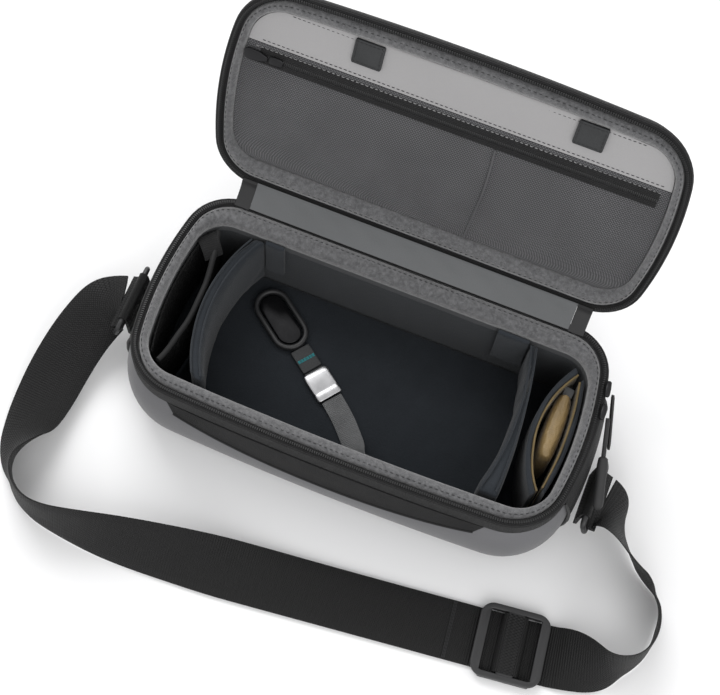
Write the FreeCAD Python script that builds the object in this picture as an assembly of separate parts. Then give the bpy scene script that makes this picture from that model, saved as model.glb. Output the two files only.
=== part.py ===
# Hard-shell camera sling bag, lid open on its back hinge, shoulder strap laid out in front.
# Millimetres. +X runs along the bag, -Y is its front, +Z is up, and z = 0 is the surface it stands on.
# The origin is the middle of the flat base. Lid pieces are made closed and then swung open.
import FreeCAD, Part
import math
import os

from FreeCAD import Rotation, Vector

# ---------------------------------------------------------------- driving dimensions
RIM_HALF_LENGTH = 159.0     # rim outline, measured where the zip teeth run
RIM_HALF_WIDTH = 80.0
FRONT_BOW = 5.0             # how far the long front side bows out
END_BOW = 12.0
FRONT_CORNER_R = 43.0
BACK_CORNER_R = 34.0

CAVITY_HALF_LENGTH = 153.0  # inside face of the padded walls
CAVITY_HALF_WIDTH = 63.5
CAVITY_SHIFT = -2.5         # the back wall's padding is the thicker one
CAVITY_FRONT_BOW = 4.0
CAVITY_END_BOW = 7.0
CAVITY_FRONT_R = 28.0
CAVITY_BACK_R = 24.0

PARTING_Z = 94.0            # where lid and body meet when shut
BODY_TOP_Z = 90.0
LID_HEIGHT = 40.0
SHELL_WALL = 4.0
FLOOR_Z = 12.0              # top of the moulded base, under the floor pad
PAD_Z = 17.0                # top of the floor pad

HINGE_Y = 88.5
HINGE_Z = 95.0
LID_OPEN = 117.0            # degrees from shut to the stop
HINGE_HALF = 128.0          # half length of the hinge strips

BAND_OUT = 2.2              # how far the ribbed band stands proud of the rim
BAND_HEIGHT = 15.0
FELT_OUT = 4.2              # inset of the felt's outer edge from the rim
TEETH_HALF = 0.9
TAPE_THICK = 1.8

STRAP_WIDTH = 45.0
STRAP_THICK = 1.7
RING_Y = {-1: -10.0, 1: -22.0}  # middle of the left and right strap ring
RING_BAR_X = 188.6
RING_BAR_Z = 54.0
RING_DROP_X = 4.5
RING_DROP_Z = 16.0
RING_SLOT = 49.5
RING_WIRE = 4.5

GAP = 0.3

# (outset from the rim outline, height) of the moulded shells, outside face
BODY_PROFILE = [(-14.0, 0.0), (-6.0, 2.5), (1.0, 8.0), (5.6, 18.0), (8.2, 30.0), (8.9, 42.0),
                (7.7, 56.0), (3.8, 68.0), (1.0, 73.5), (0.0, 75.0), (0.0, BODY_TOP_Z)]
BODY_INSIDE = [(-17.0, 4.0), (-10.0, 6.0), (-3.0, 11.0), (1.6, 20.0), (4.2, 31.0), (4.9, 42.0),
               (3.7, 55.0), (0.0, 67.0), (-3.0, 73.0), (-4.0, 75.0), (-4.0, BODY_TOP_Z)]
LID_RIM_Z = 2 * PARTING_Z - BODY_TOP_Z
LID_TOP_Z = PARTING_Z + LID_HEIGHT
# (share of the way in to the lid's flat top, height) of the domed lid, outside and inside
LID_PROFILE = [(0.0, LID_RIM_Z), (0.02, 101.0), (0.10, 107.0), (0.25, 113.5), (0.45, 120.0),
               (0.68, 126.0), (0.88, 131.3), (1.0, LID_TOP_Z)]
LID_INSIDE = [(0.0, LID_RIM_Z), (0.02, 100.5), (0.10, 106.0), (0.25, 112.0), (0.45, 118.0),
              (0.68, 123.5), (0.88, 128.0), (1.0, LID_TOP_Z - SHELL_WALL)]
LID_HOLLOW = [(0.0, LID_RIM_Z + 5), (0.10, 105.0), (0.25, 110.5), (0.45, 115.5),
              (0.68, 120.0), (0.88, 123.5), (1.0, 125.0)]

parts = {}


# ---------------------------------------------------------------- outlines and bowls
# Half length, back and front edge, bow of the front and ends, corner radii at the front and back.
RIM = (RIM_HALF_LENGTH, RIM_HALF_WIDTH, -RIM_HALF_WIDTH, FRONT_BOW, END_BOW,
       FRONT_CORNER_R, BACK_CORNER_R)
CAVITY = (CAVITY_HALF_LENGTH, CAVITY_SHIFT + CAVITY_HALF_WIDTH, CAVITY_SHIFT - CAVITY_HALF_WIDTH,
          CAVITY_FRONT_BOW, CAVITY_END_BOW, CAVITY_FRONT_R, CAVITY_BACK_R)


LID_TOP = (128.0, 45.0, -47.0, 4.0, 9.0, 30.0, 26.0)


def bow_radius(half_chord, bow):
    return (half_chord ** 2 + bow ** 2) / (2 * bow)


def wire_at(plan, outset, z):
    """Closed wire: bowed front and ends, straight back, rounded corners, moved out by outset."""
    half_length, back_y, front_y, front_bow, end_bow, front_r, back_r = plan
    half_width = (back_y - front_y) / 2
    middle_y = (back_y + front_y) / 2
    end_r = bow_radius(half_width, end_bow) + outset
    front_arc_r = bow_radius(half_length, front_bow) + outset
    bow = end_r - math.sqrt(end_r ** 2 - (half_width + outset) ** 2)
    length = half_length + end_bow + outset - bow
    dip = front_arc_r - math.sqrt(front_arc_r ** 2 - length ** 2)
    back = back_y + outset
    front = front_y - front_bow - outset + dip
    a = Vector(-length, front, z)
    b = Vector(length, front, z)
    c = Vector(length, back, z)
    d = Vector(-length, back, z)
    edges = [
        Part.Arc(a, Vector(0, front - dip, z), b).toShape(),
        Part.Arc(b, Vector(length + bow, middle_y, z), c).toShape(),
        Part.LineSegment(c, d).toShape(),
        Part.Arc(d, Vector(-length - bow, middle_y, z), a).toShape(),
    ]
    block = Part.Face(Part.Wire(edges)).extrude(Vector(0, 0, 10))
    for radius, at_front in ((front_r + outset, True), (back_r + outset, False)):
        upright = [e for e in block.Edges
                   if len(e.Vertexes) == 2 and abs(e.Vertexes[0].Z - e.Vertexes[1].Z) > 5
                   and (e.Vertexes[0].Y < middle_y) == at_front
                   and abs(e.Vertexes[0].X) > length - 1]
        block = block.makeFillet(radius, upright)
    return min(block.Faces, key=lambda f: f.CenterOfMass.z).OuterWire


def slab(plan, outset, low, high):
    return Part.Face(wire_at(plan, outset, low)).extrude(Vector(0, 0, high - low))


def cavity(outset, low, high):
    """Block with the plan of the space inside the padded walls."""
    return slab(CAVITY, outset, low, high)


def band(outer, inner, low, high):
    return slab(RIM, outer, low, high).cut(slab(RIM, inner, low - 1, high + 1))


def bowl(profile, extra=0.0):
    wires = [wire_at(RIM, outset + extra, z) for outset, z in profile]
    return Part.makeLoft(wires, True, True)


def dome(profile, outset):
    """Loft from the rim outline in to the outline of the lid's flat top."""
    wires = []
    for share, z in profile:
        plan = [rim + (top - rim) * share for rim, top in zip(RIM, LID_TOP)]
        wires.append(wire_at(plan, outset, z))
    return Part.makeLoft(wires, True, True)


def box(x0, y0, z0, x1, y1, z1):
    return Part.makeBox(x1 - x0, y1 - y0, z1 - z0, Vector(x0, y0, z0))


def plate_from(points, thickness, direction):
    """Extrude a closed outline of points and arcs along a direction."""
    return Part.Face(Part.makePolygon(points + points[:1])).extrude(direction * thickness)


def opened(shape):
    """Swing a lid piece from shut to its open stop."""
    return shape.rotated(Vector(0, HINGE_Y, HINGE_Z), Vector(1, 0, 0), -LID_OPEN)


# ---------------------------------------------------------------- body of the bag
def make_body():
    outside = bowl(BODY_PROFILE)
    inside = bowl(BODY_INSIDE)
    parts["body_shell"] = outside.cut(inside)
    felt_base = BODY_TOP_Z - 6
    foam = inside.common(slab(RIM, 30, 0, felt_base))
    foam = foam.cut(cavity(0, FLOOR_Z, felt_base + 1))
    parts["body_wall_padding"] = foam
    parts["floor_pad"] = cavity(-GAP, FLOOR_Z, PAD_Z)
    felt = slab(RIM, -FELT_OUT, felt_base, PARTING_Z - 0.6)
    felt = felt.cut(cavity(0, felt_base - 1, PARTING_Z))
    parts["body_felt_binding"] = felt
    tape = band(BAND_OUT, 0, BODY_TOP_Z - BAND_HEIGHT, BODY_TOP_Z)
    flange = band(BAND_OUT, -FELT_OUT + GAP, BODY_TOP_Z, BODY_TOP_Z + TAPE_THICK)
    parts["body_rim_band"] = tape.fuse(flange).removeSplitter()


def zip_chain(middle_z):
    chain = band(-0.3, -3.0, middle_z - TEETH_HALF, middle_z + TEETH_HALF)
    behind = box(-HINGE_HALF - 12, 50, middle_z - 5, HINGE_HALF + 12, 100, middle_z + 5)
    return chain.cut(behind)


def end_panel(side):
    """Black panel sewn over one end of the shell, under the band."""
    skin = bowl(BODY_PROFILE, BAND_OUT).cut(bowl(BODY_PROFILE, 0.1))
    window = box(100, -46, 9, 230, 44, BODY_TOP_Z - BAND_HEIGHT - GAP)
    if side < 0:
        window = window.mirror(Vector(0, 0, 0), Vector(1, 0, 0))
    return skin.common(window)


def front_pocket():
    """Lens-shaped ribbed pocket panel on the front, its mouth under the band."""
    top = BODY_TOP_Z - BAND_HEIGHT - GAP
    corners = [Vector(-126, -60, top), Vector(-114, -60, 66), Vector(110, -60, 66),
               Vector(121, -60, top)]
    low_arc = Part.Arc(corners[1], Vector(-2, -60, 56), corners[2]).toShape()
    edges = [Part.LineSegment(corners[0], corners[1]).toShape(), low_arc,
             Part.LineSegment(corners[2], corners[3]).toShape(),
             Part.LineSegment(corners[3], corners[0]).toShape()]
    window = Part.Face(Part.Wire(edges)).extrude(Vector(0, -60, 0))
    skin = bowl(BODY_PROFILE, 2.4).cut(bowl(BODY_PROFILE, 0.1))
    return skin.common(window)


# ---------------------------------------------------------------- strap rings at both ends
def ring_frame(side):
    """Base point of a ring's inner bar and the direction from it to the outer bar."""
    bar = Vector(side * RING_BAR_X, RING_Y[side], RING_BAR_Z)
    return bar, Vector(side * RING_DROP_X, 0, -RING_DROP_Z)


def strap_ring(side):
    bar, drop = ring_frame(side)
    reach = drop.Length
    half = RING_WIRE / 2
    length = RING_SLOT + 2 * RING_WIRE
    outer = box(-half, -length / 2, -half, reach + half, length / 2, half)
    hole = box(half, -RING_SLOT / 2, -10, reach - half, RING_SLOT / 2, 10)
    corners = [e for e in outer.Edges if abs(e.Vertexes[0].Z - e.Vertexes[1].Z) > 1]
    ring = outer.makeFillet(5.0, corners).cut(hole)
    long_edges = [e for e in ring.Edges
                  if len(e.Vertexes) == 2 and abs(e.Vertexes[0].Y - e.Vertexes[1].Y) > 20]
    ring = ring.makeFillet(1.4, long_edges)
    turn = Rotation(Vector(1, 0, 0), drop)
    ring.Placement = FreeCAD.Placement(bar, turn)
    return ring


def loop_round(centre, outer_r, inner_r, length):
    start = centre - Vector(0, length / 2, 0)
    tube = Part.makeCylinder(outer_r, length, start, Vector(0, 1, 0))
    return tube.cut(Part.makeCylinder(inner_r, length, start, Vector(0, 1, 0)))


def ring_tab(side):
    """Webbing folded round the inner bar and sewn down on the end panel."""
    bar, _ = ring_frame(side)
    loop = loop_round(bar, 4.9, 3.1, 40.0)
    x_out = RING_BAR_X - 3.1
    tongue = box(x_out - 6, RING_Y[side] - 20, 28, x_out, RING_Y[side] + 20, RING_BAR_Z)
    if side < 0:
        tongue = tongue.mirror(Vector(0, 0, 0), Vector(1, 0, 0))
    tongue = tongue.cut(bowl(BODY_PROFILE, BAND_OUT + 0.05))
    tongue = tongue.cut(Part.makeCylinder(3.1, 60, bar - Vector(0, 30, 0), Vector(0, 1, 0)))
    return loop.fuse(tongue).removeSplitter()


def strap_fold(side):
    bar, drop = ring_frame(side)
    return loop_round(bar + drop, 5.0, 3.1, STRAP_WIDTH)


# ---------------------------------------------------------------- shoulder strap
# Each stop of the strap's line: point on its middle, then the direction across its width.
LEFT_RUN = [
    ((-199.9, -10, 36.1), (0, 1, 0)), ((-203.5, -10.5, 35), (0, 1, .05)),
    ((-211, -15, 32.5), (-.1, .9, .3)),
    ((-220, -28, 29), (-.4, .75, .5)), ((-227, -50, 22), (-.8, .35, .4)),
    ((-230, -82, 12.5), (-.96, 0, .2)), ((-229, -116, 9), (-.98, -.1, -.1)),
    ((-226, -146, 15.5), (-.75, -.2, -.5)), ((-215, -168, 22), (-.3, -.25, -.92)),
    ((-197, -180, 24.5), (0, -.2, -.98)), ((-172, -182, 23.5), (.05, -.35, -.93)),
    ((-142, -179.5, 20.5), (.1, -.6, -.8)), ((-108, -174.5, 18), (.1, -.7, -.7)),
    ((-72, -169.8, 11.5), (.118, -.9, -.4)), ((-30, -164.8, 3.6), (.118, -.99, -.05)),
    ((50, -155.4, 2.2), (.118, -.993, 0)), ((172, -141, 2.2), (.118, -.993, 0)),
]
RIGHT_RUN = [
    ((172.4, -141, 1.3), (-.118, .993, 0)), ((202, -137.4, 1.4), (-.118, .993, 0)),
    ((214, -136, 10), (-.03, .92, .38)), ((232, -135.5, 18), (0, .68, .72)),
    ((248, -132, 23.4), (-.05, .25, .96)), ((262, -121, 24.5), (-.1, .05, .99)),
    ((268.5, -103, 24.5), (-.1, 0, .99)), ((267, -85, 24.5), (-.15, 0, .98)),
    ((262, -71, 22.5), (-.45, .05, .88)), ((249, -60, 23.5), (-.35, .1, .92)),
    ((236, -51.5, 26), (-.1, -.25, .96)), ((226, -43, 28), (.05, -.5, .85)),
    ((217, -34, 30.5), (.15, -.75, .6)), ((209.5, -26, 33), (.1, -.93, .25)),
    ((204, -22.6, 34.8), (0, -1, .05)), ((199.9, -22, 36.1), (0, -1, 0)),
]


def webbing(run, width, thickness):
    """Flat webbing lofted straight from stop to stop."""
    centres = [Vector(*point) for point, _ in run]
    sections = []
    for i, (centre, (_, across)) in enumerate(zip(centres, run)):
        ahead = centres[min(i + 1, len(run) - 1)] - centres[max(i - 1, 0)]
        ahead.normalize()
        across = Vector(*across)
        across = across - ahead * across.dot(ahead)
        across.normalize()
        normal = ahead.cross(across)
        side = across * (width / 2)
        up = normal * (thickness / 2)
        corners = [centre + side + up, centre - side + up, centre - side - up, centre + side - up]
        sections.append(Part.makePolygon(corners + corners[:1]))
    return Part.makeLoft(sections, True, True)


ADJUSTER_AT = Vector(172, -141, 0)
ADJUSTER_TURN = math.degrees(math.atan2(0.118, 0.993))


def placed_adjuster(shape):
    shape.rotate(Vector(0, 0, 0), Vector(0, 0, 1), ADJUSTER_TURN)
    return shape.translated(ADJUSTER_AT)


def adjuster_frame():
    """Tri-glide: a rounded frame with two slots and a bar between them."""
    half_length, half_width = 27.0, 28.0
    low, high, bar_low = 0.4, 8.2, 4.8
    outer = box(-half_length, -half_width, low, half_length, half_width, high)
    corners = [e for e in outer.Edges if abs(e.Vertexes[0].Z - e.Vertexes[1].Z) > 1]
    outer = outer.makeFillet(9.0, corners)
    tunnel = box(-40, -STRAP_WIDTH / 2 - 0.8, -1, 40, STRAP_WIDTH / 2 + 0.8, bar_low)
    frame = outer.cut(tunnel)
    for x in (-13.5, 13.5):
        frame = frame.cut(box(x - 6.5, -STRAP_WIDTH / 2 - 0.8, 0, x + 6.5, STRAP_WIDTH / 2 + 0.8, 12))
    return placed_adjuster(frame)


def adjuster_loop():
    """The strap's sewn end, folded over the middle bar."""
    half = STRAP_WIDTH / 2
    fold = box(-9.2, -half, 4.8, 9.2, half, 10.4)
    rims = [e for e in fold.Edges if abs(e.Length - STRAP_WIDTH) < 0.1 and e.CenterOfMass.z > 10]
    fold = fold.makeFillet(2.6, rims)
    return placed_adjuster(fold.cut(box(-7.4, -40, 4, 7.4, 40, 8.6)))


# ---------------------------------------------------------------- hinge strips
def lid_point(y, z):
    """A point given for the shut lid, where it is with the lid open."""
    turned = Vector(0, y, z).sub(Vector(0, HINGE_Y, HINGE_Z))
    angle = math.radians(-LID_OPEN)
    y_new = turned.y * math.cos(angle) - turned.z * math.sin(angle)
    z_new = turned.y * math.sin(angle) + turned.z * math.cos(angle)
    return Vector(0, HINGE_Y + y_new, HINGE_Z + z_new)


def strip(start, end, thickness, x0, x1, rise=0.0):
    """Bent strip of fabric from start to end, seen along X, from x0 to x1."""
    middle = (start + end) * 0.5
    along = (end - start).normalize()
    normal = Vector(0, -along.z, along.y)
    middle = middle + normal * rise
    across = normal * thickness
    points = [start, middle, end, end + across, middle + across, start + across]
    points = [Vector(x0, q.y, q.z) for q in points]
    return plate_from(points, x1 - x0, Vector(1, 0, 0))


def make_hinge():
    felt_edge = RIM_HALF_WIDTH - FELT_OUT + 0.8
    low = Vector(0, felt_edge, PARTING_Z + 0.2)
    high = lid_point(felt_edge, PARTING_Z - 0.2)
    parts["hinge_gusset"] = strip(low, high, 1.2, -HINGE_HALF, HINGE_HALF, -1.5)
    low = Vector(0, RIM_HALF_WIDTH + BAND_OUT + 0.4, BODY_TOP_Z - 6)
    high = lid_point(RIM_HALF_WIDTH + BAND_OUT + 0.4, LID_RIM_Z + 6)
    parts["hinge_band"] = strip(low, high, -1.6, -HINGE_HALF, HINGE_HALF, -3.0)
    low = Vector(0, felt_edge, PARTING_Z - 0.8)
    high = lid_point(felt_edge, PARTING_Z + 0.8)
    for name, x0 in (("gusset_corner_left", -HINGE_HALF - 12), ("gusset_corner_right", HINGE_HALF)):
        x_low = x0 if x0 < 0 else x0 + GAP
        x_high = x0 + 12 - GAP if x0 < 0 else x0 + 12
        parts[name] = strip(low, high, 2.0, x_low, x_high, -4.0)


# ---------------------------------------------------------------- lid
def make_lid():
    outside = dome(LID_PROFILE, 0)
    inside = dome(LID_INSIDE, -SHELL_WALL)
    lid = {}
    lid["lid_shell"] = outside.cut(inside)
    felt_top = LID_RIM_Z + 6
    foam = inside.common(slab(RIM, 30, felt_top, LID_TOP_Z))
    hollow = dome(LID_HOLLOW, -FELT_OUT - 5).common(cavity(0, felt_top - 1, LID_TOP_Z))
    lid["lid_wall_padding"] = foam.cut(hollow).cut(cavity(0, felt_top - 1, felt_top + 1))
    felt = slab(RIM, -FELT_OUT, PARTING_Z + 0.6, felt_top)
    lid["lid_felt_binding"] = felt.cut(cavity(0, PARTING_Z, felt_top + 1)).cut(lid["lid_shell"])
    tape = dome(LID_PROFILE[:3], BAND_OUT).cut(dome(LID_PROFILE[:3], 0))
    flange = band(BAND_OUT, -FELT_OUT + GAP, LID_RIM_Z - TAPE_THICK, LID_RIM_Z)
    lid["lid_rim_band"] = tape.fuse(flange).removeSplitter()
    lid["lid_zip_chain"] = zip_chain(PARTING_Z + 0.4 + TEETH_HALF)

    sheet_z = PARTING_Z + 5.0
    sheet = cavity(-GAP, sheet_z, sheet_z + 1.6)
    panel_edge, zip_edge = -37.0, -27.0
    lid["lid_panel"] = sheet.common(box(-200, -100, 0, 200, panel_edge, 200))
    lid["lid_mesh_pocket"] = sheet.common(box(-200, panel_edge + GAP, 0, 200, 100, 200))
    lid["lid_pocket_zip_chain"] = box(-146, zip_edge - 1.8, sheet_z - 1.3, 150, zip_edge + 1.8,
                                      sheet_z - 0.05)
    for name, x in (("lid_tab_left", -71.0), ("lid_tab_right", 92.0)):
        lid[name] = box(x - 11, -68, sheet_z - 3.4, x + 11, -49, sheet_z - 0.4)

    slider_x = -134.0
    lid["lid_pocket_slider"] = box(slider_x - 5, zip_edge - 3.4, sheet_z - 3.6, slider_x + 5,
                                   zip_edge + 3.4, sheet_z - 1.5)
    lid["lid_pocket_pull"] = box(slider_x - 24, zip_edge - 4.5, sheet_z - 4.1, slider_x - 6.4,
                                 zip_edge + 4.5, sheet_z - 1.7)
    for name, shape in lid.items():
        parts[name] = opened(shape)


# ---------------------------------------------------------------- dividers and pockets inside
def three_arc(a, b, c, z):
    return Part.Arc(Vector(*a, z), Vector(*b, z), Vector(*c, z)).toShape()


def bay(left, right, low, high, wall=0.0):
    """Upright block between a left and a right arc, kept inside the padded walls."""
    left_arc = three_arc(*left, low)
    right_arc = three_arc(*right, low)
    ends = [Part.LineSegment(Vector(*left[2], low), Vector(*right[2], low)).toShape(),
            Part.LineSegment(Vector(*right[0], low), Vector(*left[0], low)).toShape()]
    wire = Part.Wire(Part.__sortEdges__([left_arc, ends[0], right_arc, ends[1]]))
    face = Part.Face(wire.makeOffset2D(-wall)) if wall else Part.Face(wire)
    block = face.extrude(Vector(0, 0, high - low))
    return block.common(cavity(-GAP - wall, low - 1, high + 1))


SLEEVE_LEFT = ((143, 56), (127.5, 8), (143, -54))
SLEEVE_RIGHT = ((154.5, 50), (158.4, -1), (154, -52))
POCKET_LEFT = ((-152, 53), (-158.6, -2), (-152, -57))
POCKET_RIGHT = ((-145, 55), (-136, 0), (-144, -60))
SLEEVE_TOP = 84.0


def make_inside():
    low, high = PAD_Z + GAP, 87.0
    left = bay(((-118, 60.6), (-133, 10), (-117, -63.5)), ((-107, 60.6), (-122.5, 10), (-105, -63.8)),
               low, high)
    left_wing = box(-107.5, 56.6, 40, -92, 60.6, high)
    parts["divider_left"] = left.fuse(left_wing).removeSplitter()
    right = bay(((104, 60.6), (114.5, 10), (104, -63.8)), ((112, 60.6), (122, -10), (123, -63.5)),
                low, high)
    right_wing = box(80, 56.6, 40, 105, 60.6, high)
    parts["divider_right"] = right.fuse(right_wing).removeSplitter()

    cup = bay(POCKET_LEFT, POCKET_RIGHT, 24, SLEEVE_TOP)
    parts["mesh_end_pocket"] = cup.cut(bay(POCKET_LEFT, POCKET_RIGHT, 26, SLEEVE_TOP + 1, 1.4))

    sleeve = bay(SLEEVE_LEFT, SLEEVE_RIGHT, PAD_Z + GAP, SLEEVE_TOP)
    sleeve = sleeve.cut(bay(SLEEVE_LEFT, SLEEVE_RIGHT, PAD_Z + 4, SLEEVE_TOP + 1, 3.0))
    parts["accessory_sleeve"] = sleeve
    lining = bay(SLEEVE_LEFT, SLEEVE_RIGHT, PAD_Z + 4, SLEEVE_TOP - 0.5, 3.05)
    lining = lining.cut(bay(SLEEVE_LEFT, SLEEVE_RIGHT, PAD_Z + 4.8, SLEEVE_TOP + 1, 3.8))
    parts["sleeve_lining"] = lining

    pouch = box(136.6, -20, PAD_Z + 5.2, 151.4, 34, 79)
    parts["pouch"] = pouch.makeFillet(5.5, [e for e in pouch.Edges if e.Length > 40])
    parts["pouch_tab"] = box(141.5, 34.1, 72, 149.5, 41, 74)


# ---------------------------------------------------------------- key leash
LEASH_FERRULE = Vector(-33, -8, PAD_Z + 0.3)
LEASH_TURN = math.degrees(math.atan2(0.6, -0.8))  # the hook lies to the left and back
LEASH_WIDTH = 17.0
LEASH_RUN = [
    ((-21.5, -16.6, PAD_Z + 2.5), (.6, .8, 0)), ((-8, -27, PAD_Z + 2.2), (.65, .75, .1)),
    ((7, -44, PAD_Z + 3), (.55, .8, .15)), ((20, -59, PAD_Z + 9.4), (.1, .25, .96)),
    ((42, -65, PAD_Z + 14), (0, .1, .99)), ((62, -66.6, PAD_Z + 26), (-.4, 0, .9)),
    ((78, -66.6, PAD_Z + 40), (-.5, 0, .85)), ((93, -66.2, PAD_Z + 52), (-.5, 0, .85)),
]


def laid(shape):
    """Turn a leash piece from its own axes (u along, w up) to where it lies."""
    shape.rotate(Vector(0, 0, 0), Vector(0, 0, 1), LEASH_TURN)
    return shape.translated(LEASH_FERRULE)


def rounded_slot(u0, u1, half_width, low, high):
    radius = half_width
    middle = box(u0 + radius, -half_width, low, u1 - radius, half_width, high)
    for u in (u0 + radius, u1 - radius):
        middle = middle.fuse(Part.makeCylinder(radius, high - low, Vector(u, 0, low)))
    return middle.removeSplitter()


def make_leash():
    parts["leash_webbing"] = webbing(LEASH_RUN, LEASH_WIDTH, 1.8)
    ferrule = box(-13.0, -10.5, 0, 11.5, 10.5, 5.2)
    ferrule = ferrule.makeFillet(1.6, [e for e in ferrule.Edges if abs(e.Length - 24.5) < 0.1])
    parts["leash_ferrule"] = laid(ferrule.cut(box(-20, -8.9, 1.4, -0.2, 8.9, 3.8)))
    parts["leash_tab"] = laid(box(14.5, -8.2, 0.6, 33.8, 8.2, 4.2))
    frame = rounded_slot(34.2, 90.0, 15.0, 0.2, 6.4)
    frame = frame.cut(rounded_slot(38.6, 85.6, 10.6, -1, 8))
    parts["leash_hook"] = laid(frame)
    gate = rounded_slot(40.2, 84.6, 9.6, 1.6, 4.6).cut(box(46, -2.4, 0, 51, 2.4, 8))
    parts["leash_gate"] = laid(gate)


# ---------------------------------------------------------------- main zip sliders and pullers
END_ARC_R = bow_radius(RIM_HALF_WIDTH, END_BOW)
END_ARC_X = RIM_HALF_LENGTH + END_BOW - END_ARC_R
FRONT_SLIDER_Y = 24.0
REAR_SLIDER_Y = 42.0


def end_point(y, outset, z):
    """A point beside the right end of the rim, outset from it."""
    angle = math.asin(y / END_ARC_R)
    reach = END_ARC_R + outset
    return Vector(END_ARC_X + reach * math.cos(angle), reach * math.sin(angle), z)


def slider(y):
    block = box(0.3, -6, PARTING_Z - 2.2, 4.6, 6, PARTING_Z + 2.0)
    block = block.makeFillet(1.2, [e for e in block.Edges if abs(e.Length - 12) < 0.1 and
                                   e.CenterOfMass.x > 3])
    block.rotate(Vector(0, 0, 0), Vector(0, 0, 1), math.degrees(math.asin(y / END_ARC_R)))
    return block.translated(end_point(y, 0, 0))


def rod(start, end, radius):
    return Part.makeCylinder(radius, (end - start).Length, start, end - start)


def make_pullers():
    parts["zip_slider_front"] = slider(FRONT_SLIDER_Y)
    parts["zip_slider_rear"] = slider(REAR_SLIDER_Y)
    start = end_point(FRONT_SLIDER_Y - 3, 7.0, PARTING_Z - 1.5)
    end = Vector(193.0, -34.0, 65.5)
    split = start + (end - start) * 0.45
    parts["puller_cord"] = rod(start, split, 1.8)
    parts["puller_grip"] = rod(split, end, 4.0).fuse(Part.makeSphere(4.0, end))
    start = end_point(REAR_SLIDER_Y - 3, 7.0, PARTING_Z - 1.5)
    end = Vector(186.5, 6.0, 74.0)
    tab = Part.makeBox((end - start).Length, 2.0, 7.0, Vector(0, -1.0, -3.5))
    tab.Placement = FreeCAD.Placement(start, Rotation(Vector(1, 0, 0), end - start))
    parts["puller_tab"] = tab


# ---------------------------------------------------------------- build and write
make_body()
parts["body_zip_chain"] = zip_chain(PARTING_Z - 0.4 - TEETH_HALF)
parts["front_pocket_panel"] = front_pocket()
for side, word in ((-1, "left"), (1, "right")):
    parts["end_panel_" + word] = end_panel(side)
    parts["ring_tab_" + word] = ring_tab(side)
    parts["strap_ring_" + word] = strap_ring(side)
    parts["strap_fold_" + word] = strap_fold(side)
parts["strap_left"] = webbing(LEFT_RUN, STRAP_WIDTH, 2 * STRAP_THICK)
parts["strap_right"] = webbing(RIGHT_RUN, STRAP_WIDTH, STRAP_THICK)
parts["strap_adjuster"] = adjuster_frame()
parts["adjuster_loop"] = adjuster_loop()
make_hinge()
make_lid()
make_inside()
make_leash()
make_pullers()

os.makedirs("parts", exist_ok=True)
for name, shape in sorted(parts.items()):
    shape.exportStep("parts/" + name + ".step")
    print(name, len(shape.Solids), shape.isValid(), round(shape.Volume / 1000, 2), "cm3")
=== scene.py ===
import bmesh
import bpy
import math
from mathutils import Matrix, Vector


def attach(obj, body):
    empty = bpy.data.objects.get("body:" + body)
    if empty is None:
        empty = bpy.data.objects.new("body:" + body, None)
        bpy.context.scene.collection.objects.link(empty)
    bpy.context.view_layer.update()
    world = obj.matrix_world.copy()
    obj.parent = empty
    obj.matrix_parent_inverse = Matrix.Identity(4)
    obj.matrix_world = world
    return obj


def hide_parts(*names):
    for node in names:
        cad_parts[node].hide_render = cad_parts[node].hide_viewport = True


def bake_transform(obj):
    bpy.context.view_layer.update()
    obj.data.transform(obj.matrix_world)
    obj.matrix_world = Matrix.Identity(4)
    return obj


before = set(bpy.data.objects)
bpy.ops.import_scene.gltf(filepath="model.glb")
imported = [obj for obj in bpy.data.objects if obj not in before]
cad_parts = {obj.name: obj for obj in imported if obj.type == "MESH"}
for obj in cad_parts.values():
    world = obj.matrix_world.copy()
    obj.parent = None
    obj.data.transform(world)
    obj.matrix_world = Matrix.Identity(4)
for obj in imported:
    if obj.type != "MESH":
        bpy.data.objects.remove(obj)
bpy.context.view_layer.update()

# ---- Where the camera stands
# The bag is seen from above its front edge, turned a little to its right end, with the view
# tilted so that the bag runs down to the right.
camera = bpy.data.objects.new("camera", bpy.data.cameras.new("camera"))
bpy.context.scene.collection.objects.link(camera)
bpy.context.scene.camera = camera
azimuth, elevation, tilt = math.radians(13.9), math.radians(68.4), math.radians(8.1)
away = Vector((math.sin(azimuth) * math.cos(elevation),
               -math.cos(azimuth) * math.cos(elevation), math.sin(elevation)))
sideways = Vector((0, 0, 1)).cross(away).normalized()
upward = away.cross(sideways)
right = sideways * math.cos(tilt) + upward * math.sin(tilt)
top = upward * math.cos(tilt) - sideways * math.sin(tilt)
rim_middle = Vector((-0.0097, 0.0038, 0.092))
seat = rim_middle + away * 1.08
camera.matrix_world = Matrix((
    (right.x, top.x, away.x, seat.x), (right.y, top.y, away.y, seat.y),
    (right.z, top.z, away.z, seat.z), (0, 0, 0, 1)))
camera.data.sensor_width = 36.0
camera.data.lens = 73.6
camera.data.clip_end = 30.0

# ---- Floor and studio light
# A pale sweep of paper, one big soft light from the upper left behind, a broad fill from the
# right and a bright even room.
sheet = bpy.data.meshes.new("paper_floor")
sheet.from_pydata([(-4, -4, 0), (4, -4, 0), (4, 4, 0), (-4, 4, 0)], [], [(0, 1, 2, 3)])
floor = bpy.data.objects.new("paper_floor", sheet)
bpy.context.scene.collection.objects.link(floor)
paper = bpy.data.materials.new("pale_paper")
paper.use_nodes = True
paper.node_tree.nodes["Principled BSDF"].inputs["Base Color"].default_value = (0.86, 0.86, 0.865, 1)
paper.node_tree.nodes["Principled BSDF"].inputs["Roughness"].default_value = 0.9
sheet.materials.append(paper)

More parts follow.
